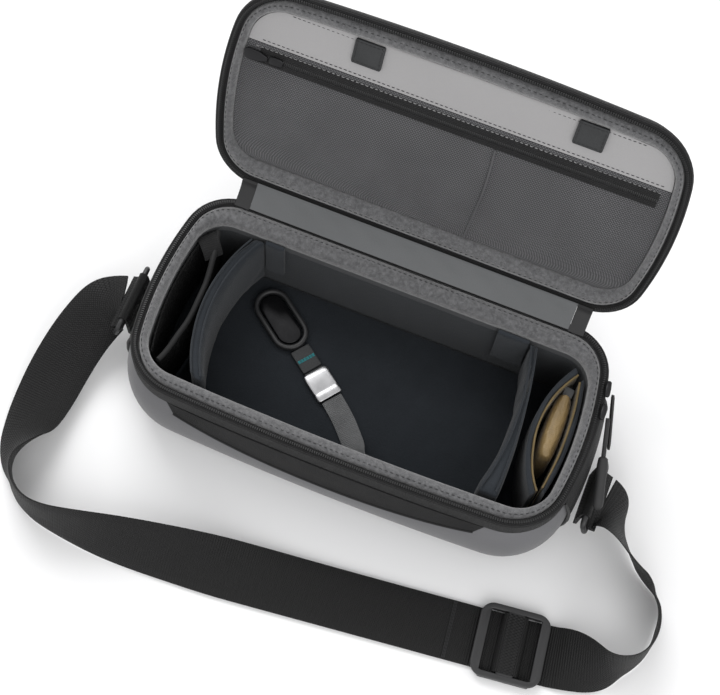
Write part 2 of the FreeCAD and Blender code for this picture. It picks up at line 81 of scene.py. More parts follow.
room = bpy.data.worlds.new("studio_room")
room.use_nodes = True
room.node_tree.nodes["Background"].inputs["Color"].default_value = (1.0, 1.0, 1.0, 1)
room.node_tree.nodes["Background"].inputs["Strength"].default_value = 0.85
bpy.context.scene.world = room
bpy.context.scene.view_settings.view_transform = "Standard"


def soft_light(name, place, aim, size, watts):
    lamp = bpy.data.lights.new(name, "AREA")
    lamp.size = size
    lamp.energy = watts
    holder = bpy.data.objects.new(name, lamp)
    bpy.context.scene.collection.objects.link(holder)
    turn = (Vector(aim) - Vector(place)).to_track_quat("-Z", "Y")
    holder.matrix_world = Matrix.Translation(place) @ turn.to_matrix().to_4x4()


soft_light("window_behind", (-0.9, 1.1, 1.5), (0, 0, 0.05), 1.3, 26)
soft_light("fill_front", (0.9, -1.2, 1.3), (0, 0, 0.05), 1.6, 14)


# ---- Shoulder strap
# Black nylon webbing 45 mm wide. It leaves the left ring, turns on edge, lies down in front
# of the bag as a doubled run to the adjuster, and rises in one layer to the right ring.
class Wire:
    """A socket in a cloth's node tree that can be added, multiplied and so on."""

    def __init__(self, recipe, socket):
        self.recipe = recipe
        self.socket = socket

    def math(self, operation, first, second=None):
        fed = [first] if second is None else [first, second]
        return self.recipe.node("ShaderNodeMath", {"operation": operation}, *fed)

    def __add__(self, other):
        return self.math("ADD", self, other)

    def __radd__(self, other):
        return self.math("ADD", other, self)

    def __sub__(self, other):
        return self.math("SUBTRACT", self, other)

    def __rsub__(self, other):
        return self.math("SUBTRACT", other, self)

    def __mul__(self, other):
        return self.math("MULTIPLY", self, other)

    def __rmul__(self, other):
        return self.math("MULTIPLY", other, self)

    def __truediv__(self, other):
        return self.math("DIVIDE", self, other)

    def __pow__(self, other):
        return self.math("POWER", self, other)

    def __gt__(self, other):
        return self.math("GREATER_THAN", self, other)

    def __lt__(self, other):
        return self.math("LESS_THAN", self, other)

    def wave(self):
        return self.math("SINE", self)

    def size(self):
        return self.math("ABSOLUTE", self)


class Finish:
    """One material's node tree, built by naming nodes and what feeds them."""

    def __init__(self, name, **settings):
        self.material = bpy.data.materials.new(name)
        self.material.use_nodes = True
        self.tree = self.material.node_tree
        self.skin = self.tree.nodes["Principled BSDF"]
        for socket, value in settings.items():
            self.skin.inputs[socket.replace("_", " ")].default_value = value

    def node(self, kind, settings, *fed, out=0, **named):
        node = self.tree.nodes.new(kind)
        for key, value in settings.items():
            if key == "stops":
                ramp = node.color_ramp.elements
                while len(ramp) < len(value):
                    ramp.new(0.5)
                for stop, (place, colour) in zip(ramp, value):
                    stop.position = place
                    stop.color = (*colour, 1)
            else:
                setattr(node, key, value)
        feeds = list(enumerate(fed))
        feeds += [(key.replace("_", " "), value) for key, value in named.items()]
        for key, value in feeds:
            if isinstance(value, Wire):
                self.tree.links.new(value.socket, node.inputs[key])
            elif value is not None:
                node.inputs[key].default_value = value
        return Wire(self, node.outputs[out])

    def place(self):
        return self.node("ShaderNodeTexCoord", {}, out="Object")

    def along_cloth(self):
        """The piece's own length and width directions, in metres."""
        flat = self.node("ShaderNodeUVMap", {"uv_map": "cloth"})
        self.node("ShaderNodeSeparateXYZ", {}, flat)
        split = self.tree.nodes[-1]
        return Wire(self, split.outputs[0]), Wire(self, split.outputs[1])

    def axes(self):
        self.node("ShaderNodeSeparateXYZ", {}, self.place())
        split = self.tree.nodes[-1]
        return [Wire(self, split.outputs[i]) for i in range(3)]

    def noise(self, scale, detail=2.0, rough=0.5, stretch=None):
        where = self.place()
        if stretch:
            where = self.node("ShaderNodeMapping", {}, where, Scale=stretch)
        return self.node("ShaderNodeTexNoise", {}, Vector=where, Scale=scale, Detail=detail,
                         Roughness=rough)

    def blend(self, amount, first, second):
        mixer = self.tree.nodes.new("ShaderNodeMix")
        mixer.data_type = "RGBA"
        for index, value in ((0, amount), (6, first), (7, second)):
            if isinstance(value, Wire):
                self.tree.links.new(value.socket, mixer.inputs[index])
            elif index:
                mixer.inputs[index].default_value = (*value, 1)
            else:
                mixer.inputs[index].default_value = value
        return Wire(self, mixer.outputs[2])

    def colour(self, wire):
        self.tree.links.new(wire.socket, self.skin.inputs["Base Color"])

    def rough(self, wire):
        self.tree.links.new(wire.socket, self.skin.inputs["Roughness"])

    def relief(self, height, depth, strength=1.0):
        bump = self.node("ShaderNodeBump", {}, Height=height, Distance=depth, Strength=strength)
        self.tree.links.new(bump.socket, self.skin.inputs["Normal"])


def woven(name, dark, light, rib=0.0019, sheen=0.04):
    """Webbing: rows of weft across the band, each crossed by the warp."""
    cloth = Finish(name, Roughness=0.6, Sheen_Weight=sheen, Sheen_Roughness=0.5,
                   Specular_IOR_Level=0.3)
    length, width = cloth.along_cloth()
    turn = 2 * math.pi / rib
    row = (length * turn).wave()
    warp = (width * (turn * 0.8) + row.math("SIGN", row) * 1.6).wave()
    height = row * 0.5 + warp * 0.5
    worn = cloth.noise(60.0, 3.0)
    tone = height * 0.22 + worn * 0.7
    cloth.colour(cloth.blend(tone, dark, light))
    cloth.rough(0.5 + worn * 0.2)
    cloth.relief(height, 0.0006, 0.7)
    return cloth.material


strap_webbing = woven("strap_webbing", (0.0025, 0.0025, 0.0027), (0.0080, 0.0080, 0.0084),
                      sheen=0.01)
HALF_STRAP = 0.0225
# Each stop of the strap's line in metres, then the direction across its width.
LEFT_RUN = [
    ((-.1999, -.01, .0361), (0, 1, 0)), ((-.2035, -.0108, .035), (0, 1, .05)),
    ((-.2105, -.017, .033), (-.25, .9, .3)), ((-.216, -.031, .03), (-.6, .7, .4)),
    ((-.221, -.05, .026), (-.85, .35, .35)), ((-.225, -.072, .019), (-.95, .1, .25)),
    ((-.2275, -.098, .0125), (-.98, 0, -.05)), ((-.2285, -.122, .0115), (-.93, -.1, -.35)),
    ((-.228, -.143, .019), (-.6, -.15, -.78)), ((-.224, -.162, .0244), (-.1, -.1, -.99)),
    ((-.213, -.176, .0246), (0, -.1, -.99)), ((-.199, -.1835, .0246), (.05, -.1, -.99)),
    ((-.183, -.1855, .0242), (.05, -.15, -.98)), ((-.158, -.184, .023), (.1, -.35, -.93)),
    ((-.125, -.18, .0195), (.1, -.6, -.78)), ((-.072, -.172, .014), (.118, -.83, -.54)),
    ((-.03, -.1652, .0056), (.118, -.98, -.15)), ((.05, -.1554, .0022), (.118, -.993, 0)),
    ((.172, -.141, .0022), (.118, -.993, 0)),
]
RIGHT_RUN = [
    ((.1724, -.141, .0013), (-.118, .993, 0)), ((.202, -.1374, .0014), (-.118, .993, 0)),
    ((.214, -.136, .01), (-.03, .92, .38)), ((.232, -.1355, .018), (0, .68, .72)),
    ((.248, -.132, .0234), (-.05, .25, .96)), ((.262, -.121, .0245), (-.1, .05, .99)),
    ((.2685, -.103, .0245), (-.1, 0, .99)), ((.267, -.085, .0245), (-.15, 0, .98)),
    ((.262, -.071, .0225), (-.45, .05, .88)), ((.249, -.06, .0235), (-.35, .1, .92)),
    ((.236, -.0515, .026), (-.1, -.25, .96)), ((.226, -.043, .028), (.05, -.5, .85)),
    ((.217, -.034, .0305), (.15, -.75, .6)), ((.2095, -.026, .033), (.1, -.93, .25)),
    ((.204, -.0226, .0348), (0, -1, .05)), ((.1999, -.022, .0361), (0, -1, 0)),
]


def put_in_scene(name, mesh):
    thing = bpy.data.objects.new(name, mesh)
    bpy.context.scene.collection.objects.link(thing)
    return thing


def drop(thing):
    """Take an object and its data out of the scene."""
    data = thing.data
    bpy.data.objects.remove(thing)
    if isinstance(data, bpy.types.Curve):
        bpy.data.curves.remove(data)
    else:
        bpy.data.meshes.remove(data)


def smooth_line(stops, steps=8):
    """Points of a smooth spline that has the stops as its control points."""
    curve = bpy.data.curves.new("line", "CURVE")
    curve.dimensions = "3D"
    curve.resolution_u = steps
    spline = curve.splines.new("NURBS")
    spline.points.add(len(stops) - 1)
    for point, stop in zip(spline.points, stops):
        point.co = (*stop, 1)
    spline.order_u = 3
    spline.use_endpoint_u = True
    holder = put_in_scene("line", curve)
    drawn = holder.evaluated_get(bpy.context.evaluated_depsgraph_get())
    mesh = bpy.data.meshes.new_from_object(drawn)
    points = [v.co.copy() for v in mesh.vertices]
    bpy.data.meshes.remove(mesh)
    drop(holder)
    return points


def mesh_of(name, points, faces, cloth=None, material=None, crisp=0.7):
    """A mesh object from points, faces and, for each corner, where it is on the cloth."""
    mesh = bpy.data.meshes.new(name)
    mesh.from_pydata([tuple(p) for p in points], [], faces)
    if cloth:
        layer = mesh.uv_layers.new(name="cloth")
        flat = [pair for face in cloth for pair in face]
        layer.data.foreach_set("uv", [value for pair in flat for value in pair])
    mesh.shade_smooth()
    mesh.set_sharp_from_angle(angle=crisp)
    if material:
        mesh.materials.append(material)
    return put_in_scene(name, mesh)


def ribbon(name, run, half_width, thickness, material, cross=8):
    """Flat webbing with rounded edges that follows a run's line and width."""
    middle = smooth_line([stop for stop, _ in run])
    edge = smooth_line([Vector(stop) + Vector(wide).normalized() * half_width
                        for stop, wide in run])
    section = []
    for i in range(cross + 1):
        w = -1 + 2 * i / cross
        section.append((w, 0.5 if abs(w) < 1 else 0.2))
    section = section + [(w, -t) for w, t in reversed(section)]
    points, travelled = [], [0.0]
    for i, centre in enumerate(middle):
        ahead = (middle[min(i + 1, len(middle) - 1)] - middle[max(i - 1, 0)]).normalized()
        wide = edge[i] - centre
        wide = (wide - ahead * wide.dot(ahead)).normalized() * half_width
        normal = ahead.cross(wide).normalized()
        for w, t in section:
            points.append(centre + wide * w + normal * (t * thickness))
        if i:
            travelled.append(travelled[-1] + (centre - middle[i - 1]).length)
    n = len(section)
    faces, cloth = [], []
    for i in range(len(middle) - 1):
        for j in range(n):
            k = (j + 1) % n
            faces.append((i * n + j, i * n + k, (i + 1) * n + k, (i + 1) * n + j))
            va, vb = section[j][0] * half_width, section[k][0] * half_width
            cloth.append([(travelled[i], va), (travelled[i], vb),
                          (travelled[i + 1], vb), (travelled[i + 1], va)])
    last = (len(middle) - 1) * n
    for ring in (list(range(n - 1, -1, -1)), [last + j for j in range(n)]):
        faces.append(tuple(ring))
        cloth.append([(0.0, 0.0)] * n)
    return mesh_of(name, points, faces, cloth, material)


strap_left = ribbon("strap_long_run", LEFT_RUN, HALF_STRAP, 0.0030, strap_webbing)
strap_right = ribbon("strap_short_run", RIGHT_RUN, HALF_STRAP, 0.0017, strap_webbing)
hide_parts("strap_left")
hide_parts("strap_right")
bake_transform(strap_left)
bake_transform(strap_right)


# ---- Moulded body of the bag
# A hard-foam shell, heat-moulded with a smooth mid-grey coated cloth outside. It bellies out
# under the rim and stands on its flat base.
def rim_arcs(half_length, back, front, front_bow, end_bow, front_r, back_r):
    """Centre, radius, start and end angle of each arc of a rim outline, from its back right."""
    middle = (back + front) / 2
    end_r = (((back - front) / 2) ** 2 + end_bow ** 2) / (2 * end_bow)
    long_r = (half_length ** 2 + front_bow ** 2) / (2 * front_bow)
    end_x = half_length + end_bow - end_r
    end_c, long_c = Vector((end_x, middle)), Vector((0, front - front_bow + long_r))
    back_c = Vector((end_x + math.sqrt((end_r - back_r) ** 2 - (back - back_r - middle) ** 2),
                     back - back_r))
    near, far = end_r - front_r, long_r - front_r
    line = long_c - end_c
    along = (near ** 2 - far ** 2 + line.length ** 2) / (2 * line.length)
    off = math.sqrt(near ** 2 - along ** 2)
    way = line.normalized()
    front_c = end_c + way * along + Vector((way.y, -way.x)) * off

    def heading(centre, other):
        return math.atan2(other.y - centre.y, other.x - centre.x)

    high = heading(end_c, back_c)
    low = heading(end_c, front_c)
    belly = heading(front_c, long_c) - math.pi
    right_side = [(back_c, back_r, math.pi / 2, high, 10), (end_c, end_r, high, low, 22),
                  (front_c, front_r, low, belly, 12)]
    half_turn = -math.pi / 2
    return right_side, (long_c, long_r, belly, half_turn, 24), back


def rim_line(arcs, outset, back_steps=24):
    """Points of the outline moved out by outset, anticlockwise from the middle of the front."""
    right_side, (long_c, long_r, belly, half_turn, long_steps), back = arcs
    half = []
    for i in range(long_steps):
        angle = half_turn + (belly - half_turn) * i / long_steps
        half.append((long_c.x + (long_r + outset) * math.cos(angle),
                     long_c.y + (long_r + outset) * math.sin(angle)))
    for centre, radius, start, end, steps in reversed(right_side):
        for i in range(steps):
            angle = end + (start - end) * i / steps
            half.append((centre.x + (radius + outset) * math.cos(angle),
                         centre.y + (radius + outset) * math.sin(angle)))
    corner_x = right_side[0][0].x
    for i in range(back_steps):
        half.append((corner_x * (1 - i / back_steps), back + outset))
    half.append((0.0, back + outset))
    return half + [(-x, y) for x, y in reversed(half[1:-1])]


RIM_PLAN = (.159, .080, -.080, .005, .012, .043, .034)
LID_TOP_PLAN = (.128, .045, -.047, .004, .009, .030, .026)
RIM = rim_arcs(*RIM_PLAN)
INSIDE = rim_arcs(.153, .061, -.066, .004, .007, .028, .024)
PARTING = 0.094
HINGE = Vector((0, .0885, .095))
LID_SWING = Matrix.Translation(HINGE) @ Matrix.Rotation(math.radians(-117), 4, "X") @ \
    Matrix.Translation(-HINGE)


def swing(points):
    return [LID_SWING @ Vector(p) for p in points]


def round_profile(stops, fine=1):
    """Soften a profile's corners by cutting them twice."""
    for _ in range(fine):
        out = [stops[0]]
        pairs = list(zip(stops, stops[1:]))
        for (a, b), (c, d) in pairs:
            out += [(a * .75 + c * .25, b * .75 + d * .25), (a * .25 + c * .75, b * .25 + d * .75)]
        stops = out + [stops[-1]]
    return stops


def between(outer, inner, share):
    return [(a[0] * (1 - share) + b[0] * share, a[1] * (1 - share) + b[1] * share)
            for a, b in zip(outer, inner)]


def hoop(name, profile, material, arcs=RIM, closed=True, lid=False, caps=False, ruffle=None,
         crisp=0.7, across_from=None):
    """Sweep a profile of (outset, height) round an outline. Lid hoops are given shut.

    The profile runs up its outer side; ruffle moves a point by where it is. With across_from,
    the profile's first number is the share of the way from that outset to the inside walls.
    A dome's profile is the share of the way in to the lid's flat top, height and outset."""
    if across_from == "dome":
        plans = [[r + (t - r) * share for r, t in zip(RIM_PLAN, LID_TOP_PLAN)]
                 for share, _, _ in profile]
        flat = [rim_line(rim_arcs(*plan), row[2]) for plan, row in zip(plans, profile)]
        profile = [(-share * 0.034 + out, z) for share, z, out in profile]
    elif across_from is None:
        flat = [rim_line(arcs, outset) for outset, _ in profile]
    else:
        outer, inner = rim_line(RIM, across_from), rim_line(INSIDE, 0.0)
        flat = [between(outer, inner, share) for share, _ in profile]
        profile = [(-share * 0.013, z) for share, z in profile]
    count = len(flat[0])
    ahead = [0.0]
    for i in range(count):
        a, b = flat[0][i], flat[0][(i + 1) % count]
        ahead.append(ahead[-1] + math.hypot(b[0] - a[0], b[1] - a[1]))
    up = [0.0]
    for (a, b), (c, d) in zip(profile, profile[1:] + profile[:1]):
        up.append(up[-1] + math.hypot(c - a, d - b))
    points = []
    for row, (_, z) in zip(flat, profile):
        for i, (x, y) in enumerate(row):
            point = Vector((x, y, z))
            points.append(ruffle(point, ahead[i]) if ruffle else point)
    faces, cloth = [], []
    rows = len(profile)
    for r in range(rows if closed else rows - 1):
        s = (r + 1) % rows
        for i in range(count):
            k = (i + 1) % count
            faces.append((r * count + i, r * count + k, s * count + k, s * count + i))
            cloth.append([(ahead[i], up[r]), (ahead[i + 1], up[r]),
                          (ahead[i + 1], up[r + 1]), (ahead[i], up[r + 1])])
    if caps:
        first = tuple(range(count - 1, -1, -1))
        last = tuple((rows - 1) * count + i for i in range(count))
        faces += [first, last]
        cloth += [[(points[i].x, points[i].y) for i in ring] for ring in (first, last)]
    if lid:
        points = swing([Vector((p.x, p.y, 2 * PARTING - p.z)) for p in points])
        faces = [tuple(reversed(face)) for face in faces]
        cloth = [list(reversed(face)) for face in cloth]
    return mesh_of(name, points, faces, cloth, material, crisp)


def coated_cloth(name, dark, light, grain=0.00025):
    skin = Finish(name, Roughness=0.6, Sheen_Weight=0.15, Sheen_Roughness=0.4)
    cloud = skin.noise(9.0, 3.0, 0.55)
    fine = skin.noise(1500.0, 2.0, 0.6)
    pores = skin.node("ShaderNodeTexVoronoi", {}, Vector=skin.place(), Scale=1100.0)
    tone = cloud * 0.55 + fine * 0.45
    skin.colour(skin.blend(tone, dark, light))
    skin.rough(0.5 + fine * 0.22)
    skin.relief(pores * 0.6 + fine * 0.6, grain, 0.55)
    return skin.material


shell_cloth = coated_cloth("moulded_shell_cloth", (0.088, 0.088, 0.093), (0.152, 0.152, 0.160))
outside = [(-.052, .0002), (-.022, .0002), (-.013, .0006), (-.006, .0030), (.001, .0085),
           (.0054, .018), (.0080, .030), (.0087, .042), (.0074, .056), (.0041, .067),
           (.0012, .0735), (.0000, .0765), (.0000, .090)]
inside = [(-.0038, .090), (-.0038, .076), (-.0028, .073), (.0, .067), (.0036, .055),
          (.0048, .042), (.0041, .031), (.0016, .020), (-.003, .0112), (-.0100, .0062),
          (-.017, .0042), (-.052, .0040)]
body_shell = hoop("body_moulding", round_profile(outside, fine=2)[:-1] + [(.0, .090)] + inside,
                  shell_cloth, closed=False, caps=True)
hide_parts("body_shell")
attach(body_shell, "case")

# ---- Lid moulding
# The shallow upper half, moulded from the same sheet as a low dome. It stands open past
# upright behind the body, so its outside is seen from the back.
dome_out = [(0, .0900), (.02, .0870), (.10, .0810), (.25, .0745), (.45, .0680), (.68, .0620),
            (.88, .0567), (1.0, .0541)]
dome_in = [(1.0, .0580), (.88, .0600), (.68, .0645), (.45, .0700), (.25, .0760), (.10, .0820),
           (.02, .0875), (0, .0900)]
soft = [dome_out[0]] + round_profile(dome_out, fine=2)[1:]
lid_rows = [(share, z, -.0038) for share, z in reversed(dome_in)]
lid_rows = [(share, z, 0.0) for share, z in reversed(soft)] + lid_rows
lid_shell = hoop("lid_moulding", lid_rows, shell_cloth, closed=False, caps=True, lid=True,
                 across_from="dome")
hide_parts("lid_shell")
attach(lid_shell, "lid")


# ---- Ribbed rim bands
# Black elastic tape, sewn round both rims and turned over their edge to carry the zip. It has
# fine ribs along its length.
def ribbed_tape(name, rib=0.0013, dark=(0.005, 0.005, 0.0053), light=(0.020, 0.020, 0.021)):
    tape = Finish(name, Roughness=0.7, Sheen_Weight=0.04, Sheen_Roughness=0.5,
                  Specular_IOR_Level=0.3)
    length, height = tape.along_cloth()
    ribs = (height * (2 * math.pi / rib)).wave()
    cross = (length * (2 * math.pi / 0.0016)).wave()
    worn = tape.noise(90.0, 2.0)
    tape.colour(tape.blend(ribs * 0.25 + worn * 0.6, dark, light))
    tape.relief(ribs * 0.7 + cross * 0.3, 0.0005, 0.8)
    return tape.material


rim_tape = ribbed_tape("rim_tape")
band = [(.0003, .0750), (.0018, .0753), (.0022, .0762), (.0022, .0895), (.0021, .0908),
        (.0014, .0917), (.0000, .0918), (-.0030, .0918), (-.0038, .0915), (-.0038, .0902),
        (.0002, .0900), (.0002, .0755)]
body_tape = hoop("body_rim_tape", band, rim_tape)
lid_band = [(.10, .0812, .0003), (.10, .0811, .0015), (.09, .0816, .0021), (.02, .0870, .0022),
            (.0, .0897, .0022), (.0, .0910, .0020), (.0, .0917, .0013), (.0, .0918, .0),
            (.0, .0918, -.0030), (.0, .0915, -.0038), (.0, .0902, -.0038), (.0, .0900, .0003)]
lid_tape = hoop("lid_rim_tape", lid_band, rim_tape, lid=True, across_from="dome")
for tape_ring, node, over in ((body_tape, "body_rim_band", "case"),
                              (lid_tape, "lid_rim_band", "lid")):
    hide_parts(node)
    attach(tape_ring, over)


# ---- Felt binding
# Soft heather-grey felt, wrapped over the padded wall of both halves. It is a round, slightly
# uneven roll about 14 mm wide.
def felt(name, dark, light, fleck):
    wool = Finish(name, Roughness=0.95, Sheen_Weight=0.5, Sheen_Roughness=0.6)
    fibre = wool.noise(1400.0, 3.0, 0.7, stretch=(1, 1, 0.4))
    mottle = wool.noise(330.0, 4.0, 0.65)
    cloud = wool.noise(45.0, 2.0)
    base = wool.blend((mottle - 0.36) * 2.6, dark, light)
    wool.colour(wool.blend((fibre - 0.57) * 4.0 * (cloud + 0.25), base, fleck))
    wool.relief(fibre * 0.5 + mottle * 0.8, 0.0008, 0.9)
    return wool.material


grey_felt = felt("grey_felt", (0.045, 0.045, 0.048), (0.125, 0.125, 0.13), (0.26, 0.26, 0.27))
roll = [(0, .0842), (0, .0885), (.05, .0912), (.22, .0931), (.46, .0938),
        (.72, .0932), (.92, .0913), (1, .0880), (1, .0850), (1, .0842)]


def soft_roll(point, ahead):
    lump = math.sin(ahead * 61) * math.sin(ahead * 23 + 1.1)
    point.z += 0.00035 * lump * max(0.0, (point.z - .086) / .008)
    return point


for name, over, lid in (("body_felt_roll", "case", False), ("lid_felt_roll", "lid", True)):
    felt_roll = hoop(name, round_profile(roll, fine=1), grey_felt, lid=lid, ruffle=soft_roll,
                     across_from=-.0043)
    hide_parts("lid_felt_binding" if lid else "body_felt_binding")
    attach(felt_roll, over)


# ---- Main zip
# A black coil zip round three sides of both rims. Each half is a row of small coil turns on
# the tape's edge, and they stop short of the hinge.
def make_row_tool():
    """Node group that sets a small part along a line at an even spacing."""
    tree = bpy.data.node_groups.new("set_along_line", "GeometryNodeTree")
    sockets = {}
    for name, kind in (("Geometry", "NodeSocketGeometry"), ("Part", "NodeSocketObject"),
                       ("Spacing", "NodeSocketFloat"), ("Up", "NodeSocketVector"),
                       ("Cloth", "NodeSocketMaterial")):
        sockets[name] = tree.interface.new_socket(name, in_out="INPUT", socket_type=kind).identifier
    tree.interface.new_socket("Geometry", in_out="OUTPUT", socket_type="NodeSocketGeometry")
    add, join = tree.nodes.new, tree.links.new
    source, result = add("NodeGroupInput"), add("NodeGroupOutput")
    line = add("GeometryNodeMeshToCurve")
    evenly = add("GeometryNodeResampleCurve")
    evenly.mode = "LENGTH"
    along = add("GeometryNodeInputTangent")
    facing = add("FunctionNodeAlignRotationToVector")
    facing.axis = "Z"
    heading = add("FunctionNodeAlignRotationToVector")
    heading.axis = "X"
    heading.pivot_axis = "Z"
    part = add("GeometryNodeObjectInfo")
    part.inputs["As Instance"].default_value = True
    setter = add("GeometryNodeInstanceOnPoints")
    real = add("GeometryNodeRealizeInstances")
    dress = add("GeometryNodeSetMaterial")
    join(source.outputs["Geometry"], line.inputs["Mesh"])
    join(line.outputs["Curve"], evenly.inputs["Curve"])
    join(source.outputs["Spacing"], evenly.inputs["Length"])
    join(source.outputs["Up"], facing.inputs["Vector"])
    join(facing.outputs["Rotation"], heading.inputs["Rotation"])
    join(along.outputs["Tangent"], heading.inputs["Vector"])
    join(source.outputs["Part"], part.inputs["Object"])
    join(evenly.outputs["Curve"], setter.inputs["Points"])
    join(part.outputs["Geometry"], setter.inputs["Instance"])
    join(heading.outputs["Rotation"], setter.inputs["Rotation"])
    join(setter.outputs["Instances"], real.inputs["Geometry"])
    join(real.outputs["Geometry"], dress.inputs["Geometry"])
    join(source.outputs["Cloth"], dress.inputs["Material"])
    join(dress.outputs["Geometry"], result.inputs["Geometry"])
    return tree, sockets


row_tool, row_sockets = make_row_tool()


def row_of(name, lines, part, spacing, up, material):
    """Small parts along one or more lines of points, joined into one plain mesh."""
    points, edges = [], []
    for line in lines:
        edges += [(len(points) + i, len(points) + i + 1) for i in range(len(line) - 1)]
        points += [tuple(p) for p in line]
    mesh = bpy.data.meshes.new(name)
    mesh.from_pydata(points, edges, [])
    guide = put_in_scene(name + "_guide", mesh)
    setter = guide.modifiers.new("row", "NODES")
    setter.node_group = row_tool
    setter[row_sockets["Part"]] = part
    setter[row_sockets["Spacing"]] = spacing
    setter[row_sockets["Up"]] = up
    setter[row_sockets["Cloth"]] = material
    depsgraph = bpy.context.evaluated_depsgraph_get()
    made = bpy.data.meshes.new_from_object(guide.evaluated_get(depsgraph))
    guide.modifiers.remove(setter)
    drop(guide)
    made.shade_smooth()
    return put_in_scene(name, made)


def pill(name, length, width, height, sides=6):
    """A small rounded bar along X, the shape of a zip coil's turn or of a stitch."""
    points, faces = [], []
    stations = ((-.5, .35), (-.38, .85), (0, 1), (.38, .85), (.5, .35))
    for place, girth in stations:
        for i in range(sides):
            turn = 2 * math.pi * i / sides
            points.append((place * length, math.cos(turn) * girth * width / 2,
                           math.sin(turn) * girth * height / 2))
    for r in range(len(stations) - 1):
        for i in range(sides):
            k = (i + 1) % sides
            faces.append((r * sides + i, r * sides + k, (r + 1) * sides + k, (r + 1) * sides + i))
    faces += [tuple(range(sides - 1, -1, -1)),
              tuple((len(stations) - 1) * sides + i for i in range(sides))]
    return mesh_of(name, points, [tuple(reversed(f)) for f in faces])


def hard(name, colour, rough, grain=0.0, metal=0.0, grain_size=900.0):
    """Moulded plastic or painted metal with a fine grain and slight wear."""
    skin = Finish(name, Metallic=metal, Roughness=rough)
    worn = skin.noise(120.0, 3.0)
    speck = skin.noise(grain_size, 2.0)
    skin.colour(skin.blend(worn * 0.5 + speck * 0.2, colour, [c * 1.7 + 0.004 for c in colour]))
    skin.rough(rough - 0.06 + worn * 0.16)
    if grain:
        skin.relief(speck, grain, 0.6)
    return skin.material


zip_coil = hard("zip_coil", (0.008, 0.008, 0.0085), 0.38)
coil_turn = pill("coil_turn", 0.0011, 0.0026, 0.0017)


def zip_half(name, node, over, z, lid):
    line = [Vector((x, y, z)) for x, y in rim_line(RIM, -.00165)]
    front = len(line) // 2
    track = line[front:] + line[:front]
    kept = [p for p in track if not (p.y > .05 and abs(p.x) < .140)]
    if lid:
        kept = swing([Vector((p.x, p.y, 2 * PARTING - p.z)) for p in kept])
    teeth = row_of(name, [kept], coil_turn, 0.0017, (0, 0, 1) if not lid else tuple(
        LID_SWING.to_3x3() @ Vector((0, 0, 1))), zip_coil)
    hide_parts(node)
    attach(teeth, over)
    return teeth


zip_half("body_zip_coil", "body_zip_chain", "case", .0927, False)
zip_half("lid_zip_coil", "lid_zip_chain", "lid", .0927, True)
drop(coil_turn)


# ---- Padded walls and floor
# The foam walls and the loose floor pad are faced with dark blue-grey brushed nylon, to which
# the dividers' hooks cling. Just under the felt the facing is a paler grey strip.
def brushed(name, dark, light, strip=None, nap=0.0009):
    pile = Finish(name, Roughness=0.95, Sheen_Weight=0.12, Sheen_Roughness=0.5,
                  Specular_IOR_Level=0.25)
    fibre = pile.noise(900.0, 3.0, 0.65)
    patch = pile.noise(38.0, 4.0, 0.6, stretch=(1, 1, 0.6))
    base = pile.blend(patch * 0.75 + fibre * 0.3, dark, light)
    if strip:
        height = pile.axes()[2]
        edge = (height + (patch - 0.5) * 0.002) > strip
        base = pile.blend(edge * 0.8, base, (0.060, 0.062, 0.066))
    pile.colour(base)
    pile.relief(fibre + patch * 0.8, nap, 0.7)
    return pile.material


def dress(node, material):
    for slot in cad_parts[node].material_slots:
        slot.material = material


wall_cloth = brushed("brushed_wall_facing", (0.009, 0.011, 0.014), (0.022, 0.026, 0.031), .0775)
dress("body_wall_padding", wall_cloth)
dress("lid_wall_padding", wall_cloth)
pad_cloth = brushed("brushed_pad_facing", (0.008, 0.010, 0.013), (0.020, 0.024, 0.029))
floor_pad = hoop("loose_floor_pad", [(-.0012, .0121), (-.0004, .0130), (-.0004, .0152),
                                     (-.0010, .0164), (-.0025, .0169), (-.0060, .0170)],
                 pad_cloth, arcs=INSIDE, closed=False, caps=True, crisp=1.2)
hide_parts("floor_pad")
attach(floor_pad, "case")


# ---- Padded dividers
# Two upright foam boards, bowed along their length, each with a thin wing that grips the back
# wall. They are stitched all round, so they swell a little between their seams.
def bow(a, b, c, steps):
    """Points from a to c on the circle through a, b and c, seen from above."""
    ax, ay, bx, by, cx, cy = *a, *b, *c
    d = 2 * (ax * (by - cy) + bx * (cy - ay) + cx * (ay - by))
    ux = ((ax**2 + ay**2) * (by - cy) + (bx**2 + by**2) * (cy - ay)
          + (cx**2 + cy**2) * (ay - by)) / d
    uy = ((ax**2 + ay**2) * (cx - bx) + (bx**2 + by**2) * (ax - cx)
          + (cx**2 + cy**2) * (bx - ax)) / d
    start, end = math.atan2(ay - uy, ax - ux), math.atan2(cy - uy, cx - ux)
    turn = (end - start + math.pi) % (2 * math.pi) - math.pi
    radius = math.hypot(ax - ux, ay - uy)
    return [(ux + radius * math.cos(start + turn * i / steps),
             uy + radius * math.sin(start + turn * i / steps)) for i in range(steps + 1)]


